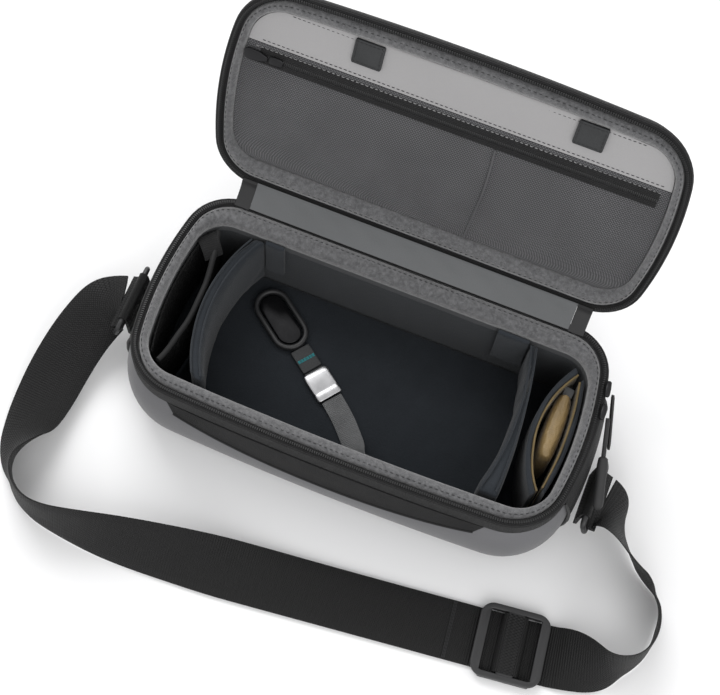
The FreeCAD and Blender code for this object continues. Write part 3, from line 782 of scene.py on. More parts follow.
def board(name, left, right, low, high, material, swell=0.001, edge=0.003, steps=28, dip=None,
          inset=0.0):
    """Upright pad between two bowed faces, rounded along its top, seen from above."""
    lefts, rights = bow(*left, steps), bow(*right, steps)
    side = [0, .06, .2, .4, .6, .8, .93]
    points, rows = [], 0
    for i, (a, b) in enumerate(zip(lefts, rights)):
        along = i / steps
        width = math.hypot(b[0] - a[0], b[1] - a[1])
        top = high - (dip(along) if dip else 0.0)
        round_in = min(edge, width * 0.45) / width
        section = [(0, low + (top - edge - low) * f) for f in side]
        section += [(0, top - edge), (round_in * .3, top - edge * .3), (round_in, top),
                    (.5, top + edge * .1)]
        section += [(1 - u, z) for u, z in reversed(section[:-1])]
        rows = len(section)
        for u, z in section:
            crown = swell * math.sin(math.pi * min(1, max(0, (z - low) / (top - low)))) \
                * math.sin(math.pi * min(1, max(0, along)))
            push = (u - .5) * 2 * crown / width + (.5 - u) * 2 * inset / width
            x = a[0] + (b[0] - a[0]) * (u + push)
            y = a[1] + (b[1] - a[1]) * (u + push)
            points.append(Vector((x, y, z)))
    faces, cloth = [], []
    for i in range(steps):
        for j in range(rows):
            k = (j + 1) % rows
            face = (i * rows + j, i * rows + k, (i + 1) * rows + k, (i + 1) * rows + j)
            faces.append(face)
            cloth.append([(points[q].y, points[q].z + points[q].x * .3) for q in face])
    for ring in (tuple(range(rows - 1, -1, -1)), tuple(steps * rows + j for j in range(rows))):
        faces.append(ring)
        cloth.append([(points[q].x, points[q].z) for q in ring])
    piece = mesh_of(name, points, faces, cloth, material, 1.0)
    outward(piece)
    return piece


def outward(piece):
    """Turn a closed mesh's faces to point out."""
    shape = bmesh.new()
    shape.from_mesh(piece.data)
    bmesh.ops.recalc_face_normals(shape, faces=shape.faces)
    shape.to_mesh(piece.data)
    shape.free()


def baked(piece):
    """Apply a piece's modifiers to its mesh."""
    depsgraph = bpy.context.evaluated_depsgraph_get()
    made = bpy.data.meshes.new_from_object(piece.evaluated_get(depsgraph))
    old = piece.data
    piece.modifiers.clear()
    piece.data = made
    bpy.data.meshes.remove(old)


def plump(piece, swell, cell=0.0042, pressure=4.0):
    """Fill a sewn pad: even mesh, air pressure for a moment, then smooth."""
    material = piece.data.materials[0]
    even = piece.modifiers.new("even", "REMESH")
    even.mode = "VOXEL"
    even.voxel_size = cell
    baked(piece)
    rest = [v.co.copy() for v in piece.data.vertices]
    pinned = piece.vertex_groups.new(name="sewn")
    low = min(p.z for p in rest)
    pinned.add([i for i, p in enumerate(rest) if p.z < low + cell], 1, "REPLACE")
    filling = piece.modifiers.new("filling", "CLOTH")
    filling.settings.vertex_group_mass = "sewn"
    filling.settings.use_pressure = True
    filling.settings.uniform_pressure_force = pressure
    filling.settings.effector_weights.gravity = 0
    filling.settings.tension_stiffness = 18
    filling.settings.compression_stiffness = 18
    filling.settings.bending_stiffness = 1.2
    filling.settings.quality = 4
    for step in range(1, 19):
        bpy.context.scene.frame_set(step)
    baked(piece)
    bpy.context.scene.frame_set(1)
    for vertex, start in zip(piece.data.vertices, rest):
        move = vertex.co - start
        if move.length > swell:
            vertex.co = start + move * (swell / move.length)
    piece.vertex_groups.clear()
    finer = piece.modifiers.new("finer", "SUBSURF")
    finer.levels = finer.render_levels = 1
    baked(piece)
    piece.data.materials.clear()
    piece.data.materials.append(material)
    piece.data.shade_smooth()


divider_cloth = brushed("brushed_divider_cloth", (0.012, 0.0145, 0.018), (0.030, 0.035, 0.042))
SEAT_Z = .0173
LEFT_BOARD = (((-.1175, .0602), (-.1325, .010), (-.1165, -.0632)),
              ((-.1075, .0602), (-.1230, .010), (-.1055, -.0634)))
RIGHT_BOARD = (((.1045, .0602), (.1145, .010), (.1045, -.0634)),
               ((.1115, .0602), (.1215, -.010), (.1225, -.0632)))


def welt(name, points, radius, material, over):
    """A thin sewn edge or piping along a line of points."""
    curve = bpy.data.curves.new(name, "CURVE")
    curve.dimensions = "3D"
    curve.bevel_depth = radius
    curve.bevel_resolution = 2
    curve.use_fill_caps = True
    spline = curve.splines.new("POLY")
    spline.points.add(len(points) - 1)
    for point, place in zip(spline.points, points):
        point.co = (*place, 1)
    holder = put_in_scene(name + "_line", curve)
    depsgraph = bpy.context.evaluated_depsgraph_get()
    made = bpy.data.meshes.new_from_object(holder.evaluated_get(depsgraph))
    drop(holder)
    made.materials.clear()
    made.materials.append(material)
    made.shade_smooth()
    piece = put_in_scene(name, made)
    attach(piece, over)
    return piece


def divider(word, faces, wing_x, body):
    pad = board("divider_%s_board" % word, *faces, SEAT_Z, .0866, divider_cloth, swell=.0008,
                inset=.0006)
    plump(pad, .0013)
    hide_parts("divider_" + word)
    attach(pad, body)
    wing = board("divider_%s_wing" % word, ((wing_x[0], .0569), (sum(wing_x) / 2, .0566),
                                             (wing_x[1], .0570)),
                 ((wing_x[0], .0604), (sum(wing_x) / 2, .0606), (wing_x[1], .0604)),
                 .040, .0864, divider_cloth, swell=.0003, edge=.0014, steps=10)
    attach(wing, body)
    for share in (.16, .84):
        edge = [(a[0] + (b[0] - a[0]) * share, a[1] + (b[1] - a[1]) * share, .0867)
                for a, b in zip(bow(*faces[0], 30), bow(*faces[1], 30))]
        welt("divider_%s_seam_%d" % (word, round(share * 100)), edge[1:-1], .0007, divider_cloth,
             body)


divider("left", LEFT_BOARD, (-.1072, -.0922), "divider_l")
divider("right", RIGHT_BOARD, (.0802, .1048), "divider_r")


# ---- Stretch pocket at the left end
# Black open air-mesh with an elastic edge, sewn to the end wall. It bellies out towards the
# divider, and a short ribbed tab at the back pulls it open.
def air_mesh(name):
    net = Finish(name, Roughness=0.75, Specular_IOR_Level=0.25)
    cells = net.node("ShaderNodeTexVoronoi", {"feature": "DISTANCE_TO_EDGE"},
                     Vector=net.node("ShaderNodeMapping", {}, net.place(), Scale=(1, 1, .75)),
                     Scale=310.0)
    yarn = (0.12 - cells) * 9.0
    web = yarn.math("MAXIMUM", yarn, 0.0)
    thick = web.math("MINIMUM", web, 1.0)
    fine = net.noise(1200.0, 2.0)
    net.colour(net.blend(thick * (fine * 0.5 + 0.6), (0.0015, 0.0015, 0.0016),
                         (0.030, 0.030, 0.031)))
    net.relief(thick, 0.0014, 1.0)
    return net.material


black_air_mesh = air_mesh("black_air_mesh")
POCKET_FACES = (((-.1455, .054), (-.1372, .0), (-.1445, -.059)),
                ((-.1440, .054), (-.1354, .0), (-.1430, -.059)))


def pocket_dip(along):
    return .0035 * math.sin(math.pi * along) + .001 * math.sin(7 * math.pi * along)


pocket = board("stretch_pocket_mesh", *POCKET_FACES, .024, .0838, black_air_mesh, swell=.0011,
               edge=.0006, dip=pocket_dip)
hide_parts("mesh_end_pocket")
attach(pocket, "case")
elastic = ribbed_tape("pocket_elastic", rib=0.0009)
pocket_rim = [((a[0] + b[0]) / 2, (a[1] + b[1]) / 2, .0838 - pocket_dip(i / 40))
              for i, (a, b) in enumerate(zip(bow(*POCKET_FACES[0], 40), bow(*POCKET_FACES[1], 40)))]
welt("pocket_elastic_edge", pocket_rim, .0021, elastic, "case")
liner = board("pocket_back_net", ((-.1520, .050), (-.1582, -.002), (-.1520, -.054)),
              ((-.1508, .050), (-.1569, -.002), (-.1508, -.054)), .024, .0835, black_air_mesh,
              swell=.0002, edge=.0005)
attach(liner, "case")
pull_tab = ribbon("pocket_pull_tab", [((-.1515, .047, .0838), (.5, .8, 0)),
                                         ((-.1470, .0425, .0860), (.5, .8, 0)),
                                         ((-.1425, .0375, .0850), (.5, .8, 0)),
                                         ((-.1395, .034, .0800), (.5, .8, 0))],
                  .0075, .0016, elastic)
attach(pull_tab, "case")


# ---- Accessory sleeve
# A soft pocket at the right end: two padded leaves that meet at their ends, lined in mustard
# ripstop, with a small tan pouch standing in it.
def thin_cloth(name, dark, light, crease=0.0016, weave=1.0, rough=0.7):
    cloth = Finish(name, Roughness=rough, Sheen_Weight=0.15, Sheen_Roughness=0.4)
    fold = cloth.noise(70.0, 3.0, 0.55, stretch=(1.4, 0.8, 0.5))
    x, y, z = cloth.axes()
    grid = ((y * 3900.0).wave() + (z * 3900.0).wave()) * (0.25 * weave)
    # The colour follows the fold noise as well: painted shade in the hollows of the folds and
    # painted light on their ridges, laid over the ripstop grid's own woven pattern.
    tone = fold * 1.3 - 0.15 + grid * 0.15
    cloth.colour(cloth.blend(tone, dark, light))
    cloth.relief(fold * 2.2 + grid * 0.12, crease, 0.9)
    return cloth.material


# In both cloths the dark colour is partly painted shade in the folds and the light colour partly
# painted light on their ridges.
mustard = thin_cloth("mustard_ripstop", (0.075, 0.050, 0.016), (0.19, 0.135, 0.050))
tan_cloth = thin_cloth("tan_pouch_cloth", (0.13, 0.085, 0.030), (0.31, 0.215, 0.095), rough=0.5)
LEFT_LEAF = (((.1432, .0540), (.1277, .008), (.1432, -.0520)),
             ((.1465, .0500), (.1315, .008), (.1465, -.0480)))
RIGHT_LEAF = (((.1505, .0450), (.1545, -.001), (.1505, -.0445)),
              ((.1530, .0470), (.1584, -.001), (.1530, -.0480)))
for word, faces in (("left", LEFT_LEAF), ("right", RIGHT_LEAF)):
    leaf = board("sleeve_%s_leaf" % word, *faces, SEAT_Z, .0838, divider_cloth, swell=.0004,
                 edge=.0014, inset=.0002)
    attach(leaf, "case")
    if word == "left":
        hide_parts("accessory_sleeve")


def leaf_dip(along):
    return .0015 + .0012 * math.sin(5 * math.pi * along + .6)


LINING_LEFT = (((.1467, .0495), (.1319, .008), (.1467, -.0475)),
               ((.1475, .0490), (.1328, .008), (.1475, -.0470)))
LINING_RIGHT = (((.1496, .0440), (.1535, -.001), (.1496, -.0435)),
                ((.1503, .0445), (.1543, -.001), (.1503, -.0440)))
for word, faces in (("left", LINING_LEFT), ("right", LINING_RIGHT)):
    facing = board("sleeve_lining_" + word, *faces, .0215, .0846, mustard, swell=.0003, edge=.0003,
                   dip=leaf_dip)
    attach(facing, "case")
    if word == "left":
        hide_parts("sleeve_lining")
    lip = [((a[0] + b[0]) / 2, (a[1] + b[1]) / 2, .0849 - leaf_dip(i / 36))
           for i, (a, b) in enumerate(zip(bow(*faces[0], 36), bow(*faces[1], 36)))]
    welt("sleeve_lip_" + word, lip, .0008, mustard, "case")

pouch = board("tan_pouch", ((.1385, .0335), (.1368, .008), (.1385, -.0195)),
              ((.1500, .0335), (.1514, .008), (.1500, -.0195)), .0225, .0788, tan_cloth,
              swell=.0005, edge=.0050, inset=.0004)
plump(pouch, .0006, cell=.003)
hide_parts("pouch")
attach(pouch, "pouch_body")

# ---- Hinge gusset and band
# Grey coated cloth joins the two rims along the back, with a black band behind it and a
# puffed black corner at each end. All are sewn under the rim tapes and span from the body's rim to
# the open lid's.
def patch(name, at, size, steps, material, crisp=0.7):
    """A soft panel with two faces: at(u, v, w) is a point, and w runs from 0 to 1 between them."""
    nu, nv = steps
    points = [at(i / nu, j / nv, w) for w in (0, 1) for j in range(nv + 1) for i in range(nu + 1)]
    row, side = nu + 1, (nu + 1) * (nv + 1)
    faces, cloth = [], []

    def add(*corners):
        faces.append(corners)
        cloth.append([(c % side % row / nu * size[0], c % side // row / nv * size[1])
                      for c in corners])

    for j in range(nv):
        for i in range(nu):
            a = j * row + i
            add(a, a + 1, a + 1 + row, a + row)
            add(side + a, side + a + row, side + a + row + 1, side + a + 1)
    for i in range(nu):
        a, b = i, nv * row + i
        add(a, side + a, side + a + 1, a + 1)
        add(b, b + 1, side + b + 1, side + b)
    for j in range(nv):
        a, b = j * row, j * row + nu
        add(a, a + row, side + a + row, side + a)
        add(b, side + b, side + b + row, b + row)
    return mesh_of(name, points, faces, cloth, material, crisp)


def bridge(x0, x1, low, high, thick, bulge, folds):
    """The shape of a cloth strip from a point on the body's rim to one on the shut lid's."""
    def at(u, v, w):
        x = x0 + (x1 - x0) * u
        top = LID_SWING @ Vector((x, *high))
        p = Vector((x, *low)).lerp(top, v)
        arch = math.sin(math.pi * v)
        crease = folds * arch * (math.sin(x * 210 + 5 * v) + .6 * math.sin(x * 97 - 7 * v))
        return p + Vector((0, bulge * arch + crease - thick * w, 0))
    return at


grey_gusset = coated_cloth("grey_gusset_cloth", (0.070, 0.073, 0.076), (0.125, 0.129, 0.133),
                           0.0002)
black_gusset = coated_cloth("black_gusset_cloth", (0.006, 0.006, 0.0065), (0.018, 0.018, 0.019))
RIM_LOW, RIM_HIGH = (.0768, .0942), (.0768, .0938)
for name, x0, x1, low, high, thick, bulge, folds, cloth, node, slot_name in (
        ("hinge_gusset_cloth", -.128, .128, RIM_LOW, RIM_HIGH, .0011, .0012, .0003, grey_gusset,
         "hinge_gusset", "gusset"),
        ("hinge_back_band", -.128, .128, (.0827, .085), (.0827, .103), -.0014, .0028, .0002,
         black_gusset, "hinge_band", "gusset_black"),
        ("puffed_corner_left", -.1400, -.1282, RIM_LOW, RIM_HIGH, .0022, .0034, .0005,
         black_gusset, "gusset_corner_left", "gusset_black"),
        ("puffed_corner_right", .1282, .1400, RIM_LOW, RIM_HIGH, .0022, .0034, .0005,
         black_gusset, "gusset_corner_right", "gusset_black")):
    strip = patch(name, bridge(x0, x1, low, high, thick, bulge, folds), (x1 - x0, .06),
                  (int((x1 - x0) / .002), 20), cloth)
    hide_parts(node)
    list(low)
    tuple(LID_SWING @ Vector((0, *high)))
    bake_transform(strip)


# ---- Lid pockets
# Inside the lid a smooth grey panel runs along the front. Behind its zip, a grey net covers
# the rest, sewn down at a seam right of the middle. Both are held under the felt.
def across(outline, y):
    """Half width of an outline at y."""
    reach = 0.0
    for a, b in zip(outline, outline[1:] + outline[:1]):
        if a[1] != b[1] and min(a[1], b[1]) <= y <= max(a[1], b[1]):
            reach = max(reach, a[0] + (b[0] - a[0]) * (y - a[1]) / (b[1] - a[1]))
    return reach


LINED = rim_line(INSIDE, -.0004)
SHEET_Z = .0990


def lid_sheet(y0, y1, power, swell, folds, flat=0.0):
    def at(u, v, w):
        y = y0 + (y1 - y0) * v ** power
        x = (2 * u - 1) * across(LINED, y)
        loose = math.sin(math.pi * u) * math.sin(math.pi * max(0.0, (v - flat) / (1 - flat)))
        fold = (math.sin(x * 41 + y * 33) + .7 * math.sin(x * 23 - y * 71 + 1)
                + .4 * math.sin(x * 118))
        z = SHEET_Z + .0015 * w - swell * loose + folds * loose * fold
        return LID_SWING @ Vector((x, y, z))
    return at


def net_cloth(name):
    net = Finish(name, Roughness=0.65, Sheen_Weight=0.1, Sheen_Roughness=0.5)
    length, width = net.along_cloth()
    turn = 2 * math.pi / .0021
    holes = (length * turn + (width * (turn * .5)).wave() * .5).wave() * (width * turn).wave()
    open_net = holes.math("MULTIPLY", holes, 1.3)
    worn = net.noise(26.0, 3.0)
    net.colour(net.blend(open_net * 0.55 + worn * 0.35, (0.036, 0.036, 0.039),
                         (0.190, 0.190, 0.198)))
    net.relief(holes, 0.0007, 0.8)
    return net.material


lid_grey = coated_cloth("grey_panel_cloth", (0.290, 0.285, 0.288), (0.375, 0.368, 0.371), 0.00018)
grey_net = net_cloth("grey_net")
panel = patch("lid_front_panel", lid_sheet(-.0698, -.0372, 2.2, .0010, .00012), (.300, .033),
              (120, 16), lid_grey)
net = patch("lid_net_pocket", lid_sheet(-.0366, .0605, 1.0, .0018, .00045, .165), (.306, .097),
            (150, 60), grey_net)
for sheet, node, slot_name in ((panel, "lid_panel", "lining_grey"),
                               (net, "lid_mesh_pocket", "mesh")):
    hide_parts(node)
    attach(sheet, "lid")

thread = hard("light_thread", (0.20, 0.20, 0.20), 0.6)
dark_thread = hard("dark_thread", (0.012, 0.012, 0.013), 0.6)
stitch = pill("stitch", .0023, .0007, .0006)
LID_DOWN = tuple(LID_SWING.to_3x3() @ Vector((0, 0, -1)))


def sewn(name, lines, over, lid=False, spacing=.0036, material=None, up=(0, 0, 1)):
    """Rows of stitches; lines on the lid are given shut."""
    lines = [swing(line) if lid else [Vector(p) for p in line] for line in lines]
    row = row_of(name, lines, stitch, spacing, LID_DOWN if lid else up, material or thread)
    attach(row, over)
    return row


def flat_line(x0, x1, y, z, swell=0.0):
    return [(x0 + (x1 - x0) * i / 20, y, z - swell * math.sin(math.pi * i / 20)) for i in range(21)]


sewn("lid_panel_stitches", [flat_line(-.146, .150, -.0395, .0989, .0002),
                            flat_line(-.128, .128, -.0652, .0989, .0004)], "lid",
     lid=True, material=dark_thread)
sewn("lid_net_stitches", [flat_line(-.150, .150, -.0335, .0987, .0003)], "lid", lid=True)
seam = swing([(.033 + .0015 * math.sin(i / 7), -.0205 + .081 * i / 30,
               .0983 - .0016 * math.sin(math.pi * i / 30)) for i in range(31)])
welt("lid_net_seam", seam, .0009, grey_net, "lid")

tape = patch("lid_pocket_zip_tape", lambda u, v, w: LID_SWING @ Vector(
    (-.147 + .298 * u, -.0335 + .0125 * v, .0983 + .0009 * w)), (.298, .0125), (100, 6), rim_tape)
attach(tape, "lid")
small_turn = pill("small_turn", .0010, .0034, .0013)
coil = row_of("lid_pocket_coil", [swing(flat_line(-.146, .150, -.0270, .0981))], small_turn, .0014,
              LID_DOWN, zip_coil)
drop(small_turn)
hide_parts("lid_pocket_zip_chain")
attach(coil, "lid")


# ---- Small parts on the lid
# Two dark synthetic-leather tabs sewn to the front panel, and the pocket zip's slider with its
# flat painted-metal pull.
def loft(name, stations, material, place=Matrix.Identity(4), power=4.0, sides=28, crisp=0.6):
    """A body along X from (x, half width, half height, mid height) stations, squared by power."""
    points, faces, cloth = [], [], []
    for x, wide, high, mid in stations:
        for i in range(sides):
            c, s = math.cos(2 * math.pi * i / sides), math.sin(2 * math.pi * i / sides)
            y = math.copysign(abs(c) ** (2 / power), c) * wide
            z = math.copysign(abs(s) ** (2 / power), s) * high + mid
            points.append(place @ Vector((x, y, z)))
    for r in range(len(stations) - 1):
        for i in range(sides):
            k = (i + 1) % sides
            faces.append((r * sides + i, (r + 1) * sides + i, (r + 1) * sides + k, r * sides + k))
            cloth.append([(stations[q][0], place_on * stations[q][1] * 4 / sides) for q, place_on in
                          ((r, i), (r + 1, i), (r + 1, i + 1), (r, i + 1))])
    for ring in (range(sides), range(len(points) - 1, len(points) - sides - 1, -1)):
        faces.append(tuple(ring))
        cloth.append([(points[q].x, points[q].y) for q in ring])
    return mesh_of(name, points, faces, cloth, material, crisp)


def slabbed(x0, x1, wide, low, high, soft=.001):
    """Stations of a plate with softened ends."""
    mid, half = (low + high) / 2, (high - low) / 2
    return [(x0, wide - soft, half * .6, mid), (x0 + soft * .35, wide - soft * .25, half * .9, mid),
            (x0 + soft, wide, half, mid), (x1 - soft, wide, half, mid),
            (x1 - soft * .35, wide - soft * .25, half * .9, mid), (x1, wide - soft, half * .6, mid)]


def fixed(piece, over, node=None):
    if node:
        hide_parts(node)
    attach(piece, over)
    return piece


def leather(name):
    hide = Finish(name, Roughness=0.6, Specular_IOR_Level=0.35)
    pores = hide.node("ShaderNodeTexVoronoi", {}, Vector=hide.place(), Scale=900.0)
    worn = hide.noise(60.0, 3.0)
    hide.colour(hide.blend(worn * 0.6 + pores * 0.2, (0.018, 0.019, 0.020), (0.050, 0.052, 0.054)))
    hide.rough(0.5 + worn * 0.2)
    hide.relief(pores, 0.0003, 0.6)
    return hide.material


dark_leather = leather("dark_tab_hide")
for word, x in (("left", -.071), ("right", .092)):
    tab = loft("lid_tab_%s_patch" % word, slabbed(-.011, .011, .0095, .0957, .0985, .0012),
               dark_leather, LID_SWING @ Matrix.Translation((x, -.0585, 0)), power=9)
    fixed(tab, "lid", "lid_tab_" + word)
    border = [(x + a * .0093, -.0585 + b * .0078, .0956) for a, b in
              ((-1, -1), (1, -1), (1, 1), (-1, 1), (-1, -1))]
    sewn("lid_tab_%s_stitches" % word, [border], "lid", lid=True, spacing=.0030,
         material=dark_thread)

black_metal = hard("black_painted_metal", (0.012, 0.012, 0.013), 0.32, metal=0.6)
SLIDER_X = -.134
slider_seat = LID_SWING @ Matrix.Translation((SLIDER_X, -.027, 0))
body = loft("lid_zip_slider_body", [(-.0050, .0022, .0006, .0966), (-.0040, .0030, .0009, .0966),
                                    (0, .0034, .00105, .09655), (.0036, .0031, .0009, .0966),
                                    (.0050, .0020, .0006, .0966)], black_metal, slider_seat)
fixed(body, "lid_slider", "lid_pocket_slider")
pull = loft("lid_zip_pull_plate", [(-.0240, .0026, .0007, .0961), (-.0232, .0038, .0011, .0961),
                                   (-.0200, .0045, .0012, .0961), (-.0130, .0042, .0012, .0961),
                                   (-.0085, .0026, .0011, .0961), (-.0064, .0016, .0008, .0961)],
            black_metal, slider_seat)
fixed(pull, "lid_pull", "lid_pocket_pull")


# ---- Front pocket and end panels
# A lens-shaped pocket of ribbed black elastic cloth lies over the front of the shell, its mouth
# under the rim band. A black panel covers each end of the shell behind the strap ring.
def shell_out(z):
    for (a, low), (b, high) in zip(outside[1:], outside[2:]):
        if low <= z <= high:
            return a + (b - a) * (z - low) / max(high - low, 1e-9)
    return 0.0


def front_skin(x, z, lift):
    """Point on the front of the shell, lifted off it."""
    ring = rim_line(RIM, shell_out(z) + lift)
    best = 0.0
    for a, b in zip(ring, ring[1:] + ring[:1]):
        if a[0] != b[0] and max(a[1], b[1]) < -.02 and min(a[0], b[0]) <= x <= max(a[0], b[0]):
            best = min(best, a[1] + (b[1] - a[1]) * (x - a[0]) / (b[0] - a[0]))
    return Vector((x, best, z))


def pocket_at(u, v, w):
    share = 2 * u - 1
    top, low = .0746, .0560 + .0105 * abs(share) ** 2.2
    lift = .0004 + .0018 * (1 - w) * (1 - .5 * abs(share) ** 6)
    reach = .1175 + .0060 * v
    return front_skin(-.0025 + share * reach, low + (top - low) * v, lift)


pocket = patch("front_pocket_cloth", pocket_at, (.245, .024), (90, 8), rim_tape)
fixed(pocket, "case", "front_pocket_panel")
lip = [pocket_at(i / 60, 0, 0) for i in range(61)]
welt("front_pocket_lip", lip, .0011, rim_tape, "case")


def end_at(side):
    def at(u, v, w):
        y, z = -.0455 + .089 * u, .0095 + .0650 * v
        lift = .0003 + .0017 * (1 - w)
        return Vector((side * across(rim_line(RIM, shell_out(z) + lift), y), y, z))
    return at


for side, word in ((-1, "left"), (1, "right")):
    at = end_at(side)
    panel = patch("end_panel_%s_cloth" % word, at, (.089, .065), (36, 26), rim_tape)
    fixed(panel, "case", "end_panel_" + word)
    piping = [at(0, 1 - i / 16, 0) for i in range(17)] + [at(i / 16, 0, 0) for i in range(1, 17)]
    piping += [at(1, i / 16, 0) for i in range(1, 17)]
    welt("end_piping_" + word, piping, .0011, black_gusset, "case")


# ---- Strap rings
# A black moulded ring hangs on a folded webbing tab at each end of the bag. The strap's end is
# folded round the ring's outer bar.
def tube(name, path, material, radius=None, section=None, closed=True, up=None, crisp=1.0):
    """Sweep a round or given section along a path."""
    if section is None:
        section = [(math.cos(math.pi * i / 8) * radius, math.sin(math.pi * i / 8) * radius)
                   for i in range(16)]
    n, count = len(section), len(path)
    points, faces, cloth = [], [], []
    run = 0.0
    for i, p in enumerate(path):
        before = path[i - 1] if i or closed else p
        after = path[(i + 1) % count] if i + 1 < count or closed else p
        ahead = (after - before).normalized()
        side = ahead.cross(up).normalized()
        for a, b in section:
            points.append(p + side * a + up * b)
    for i in range(count if closed else count - 1):
        k = (i + 1) % count
        step = (path[k] - path[i]).length
        for j in range(n):
            m = (j + 1) % n
            faces.append((i * n + j, i * n + m, k * n + m, k * n + j))
            cloth.append([(run, j * .001), (run, j * .001 + .001), (run + step, j * .001 + .001),
                          (run + step, j * .001)])
        run += step
    if not closed:
        for ring in (tuple(range(n - 1, -1, -1)), tuple((count - 1) * n + j for j in range(n))):
            faces.append(ring)
            cloth.append([(0.0, 0.0)] * n)
    return mesh_of(name, points, faces, cloth, material, crisp)


def rounded_loop(x0, x1, half_y, radius, steps=6):
    """Rounded rectangle in the plane of X and Y, as points."""
    out = []
    for cx, cy, start in ((x1 - radius, half_y - radius, 0), (x0 + radius, half_y - radius, 1),
                          (x0 + radius, -half_y + radius, 2), (x1 - radius, -half_y + radius, 3)):
        for i in range(steps + 1):
            turn = math.pi / 2 * (start + i / steps)
            out.append(Vector((cx + radius * math.cos(turn), cy + radius * math.sin(turn), 0)))
    return out


def folded(name, path, middle, half_width, thick, material):
    """Webbing that lies across Y and follows a path seen along Y."""
    normals = []
    for i, (x, z) in enumerate(path):
        a, b = path[max(i - 1, 0)], path[min(i + 1, len(path) - 1)]
        ahead = Vector((b[0] - a[0], b[1] - a[1])).normalized()
        normals.append((-ahead.y, ahead.x))

    def at(u, v, w):
        i = min(int(round(u * (len(path) - 1))), len(path) - 1)
        (x, z), (nx, nz) = path[i], normals[i]
        return Vector((x + nx * thick * w, middle - half_width + 2 * half_width * v,
                       z + nz * thick * w))
    length = sum(math.dist(a, b) for a, b in zip(path, path[1:]))
    return patch(name, at, (length, 2 * half_width), (len(path) - 1, 10), material, crisp=1.1)


ring_plastic = hard("moulded_ring_plastic", (0.014, 0.014, 0.015), 0.42, grain=0.0001)
BAR, DROPPED = (.1886, .0540), (.1931, .0380)
for side, word, middle in ((-1, "left", -.010), (1, "right", -.022)):
    aim = Vector((side * (DROPPED[0] - BAR[0]), 0, DROPPED[1] - BAR[1]))
    reach, along = aim.length, aim.normalized()
    over = Vector((0, 1, 0)).cross(along)
    frame_at = Matrix(((along.x, 0, over.x, side * BAR[0]), (0, 1, 0, middle),
                       (along.z, 0, over.z, BAR[1]), (0, 0, 0, 1)))
    loop = [frame_at @ p for p in rounded_loop(0, reach, .0270, .0045)]
    ring = tube("strap_ring_%s_frame" % word, loop, ring_plastic, radius=.00215, up=over)
    fixed(ring, "ring_" + word, "strap_ring_" + word)

    turn = [(BAR[0] - .0036 * math.cos(math.pi * i / 14),
             BAR[1] + .0036 * math.sin(math.pi * i / 14))
            for i in range(19)]
    path = ([(.1836, .0285), (.1840, .0400), (.1846, .0500)] + turn
            + [(.1868, .0465), (.1862, .0290)])
    tab = folded("ring_tab_%s_webbing" % word, [(side * x, z) for x, z in path], middle, .0200,
                 -.0013 * side, strap_webbing)
    fixed(tab, "case", "ring_tab_" + word)

    wrap = [(DROPPED[0] + .0036 * math.cos(math.pi * (.30 + i / 14)),
             DROPPED[1] + .0036 * math.sin(math.pi * (.30 + i / 14))) for i in range(20)]
    path = [(.2002, .0372), (.1975, .0389)] + wrap + [(.1975, .0347), (.2002, .0354)]
    fold = folded("strap_fold_%s_webbing" % word, [(side * x, z) for x, z in path], middle,
                  HALF_STRAP, .0013 * side, strap_webbing)
    fixed(fold, "ring_" + word, "strap_fold_" + word)


# ---- Strap adjuster
# A black moulded tri-glide lies on the strap. The strap's end is folded over its middle bar and
# sewn down with a bar of dense stitches.
glide = Matrix.Translation((.172, -.141, 0)) @ Matrix.Rotation(math.atan2(.118, .993), 4, "Z")
rail = [(math.copysign(abs(math.cos(a)) ** .5, math.cos(a)) * .0023,
         math.copysign(abs(math.sin(a)) ** .5, math.sin(a)) * .0016)
        for a in [math.pi * i / 10 for i in range(20)]]
outer = [glide @ (p + Vector((0, 0, .0065))) for p in rounded_loop(-.0246, .0246, .0256, .0080, 8)]
glide_frame = tube("tri_glide_frame", outer, ring_plastic, section=rail, up=Vector((0, 0, 1)))
fixed(glide_frame, "adjuster", "strap_adjuster")
for word, x, wide in (("near", .0222, .0030), ("far", -.0222, .0030), ("middle", 0, .0066)):
    seat = glide @ Matrix.Translation((x, 0, 0)) @ Matrix.Rotation(math.pi / 2, 4, "Z")
    bar = loft("tri_glide_bar_" + word, slabbed(-.0240, .0240, wide, .0049, .0080, .0008),
               ring_plastic, seat, power=5)
    fixed(bar, "adjuster")
for word, y in (("front", -.0256), ("back", .0256)):
    foot = loft("tri_glide_foot_" + word, slabbed(-.0195, .0195, .0022, .0006, .0060, .0012),
                ring_plastic, glide @ Matrix.Translation((0, y, 0)), power=5)
    fixed(foot, "adjuster")
fold_run = [(-.0092, .0060), (-.0091, .0076), (-.0084, .0089), (-.0060, .0094), (0, .0095),
            (.0060, .0094), (.0084, .0089), (.0091, .0076), (.0092, .0060)]
sewn_end = patch("strap_end_fold", lambda u, v, w: glide @ Vector(
    (fold_run[round(u * 8)][0] * (1 - .08 * (1 - w)), -.0224 + .0448 * v,
     fold_run[round(u * 8)][1] - .0011 * (1 - w))), (.024, .045), (8, 12), strap_webbing, crisp=1.1)
fixed(sewn_end, "adjuster", "adjuster_loop")
bar_tack = [[glide @ Vector((-.0455 - k * .0010, -.0205 + .041 * i / 12, .0041)) for i in range(13)]
            for k in range(3)]
sewn("strap_bar_tack", bar_tack, "case", spacing=.0024, material=dark_thread)


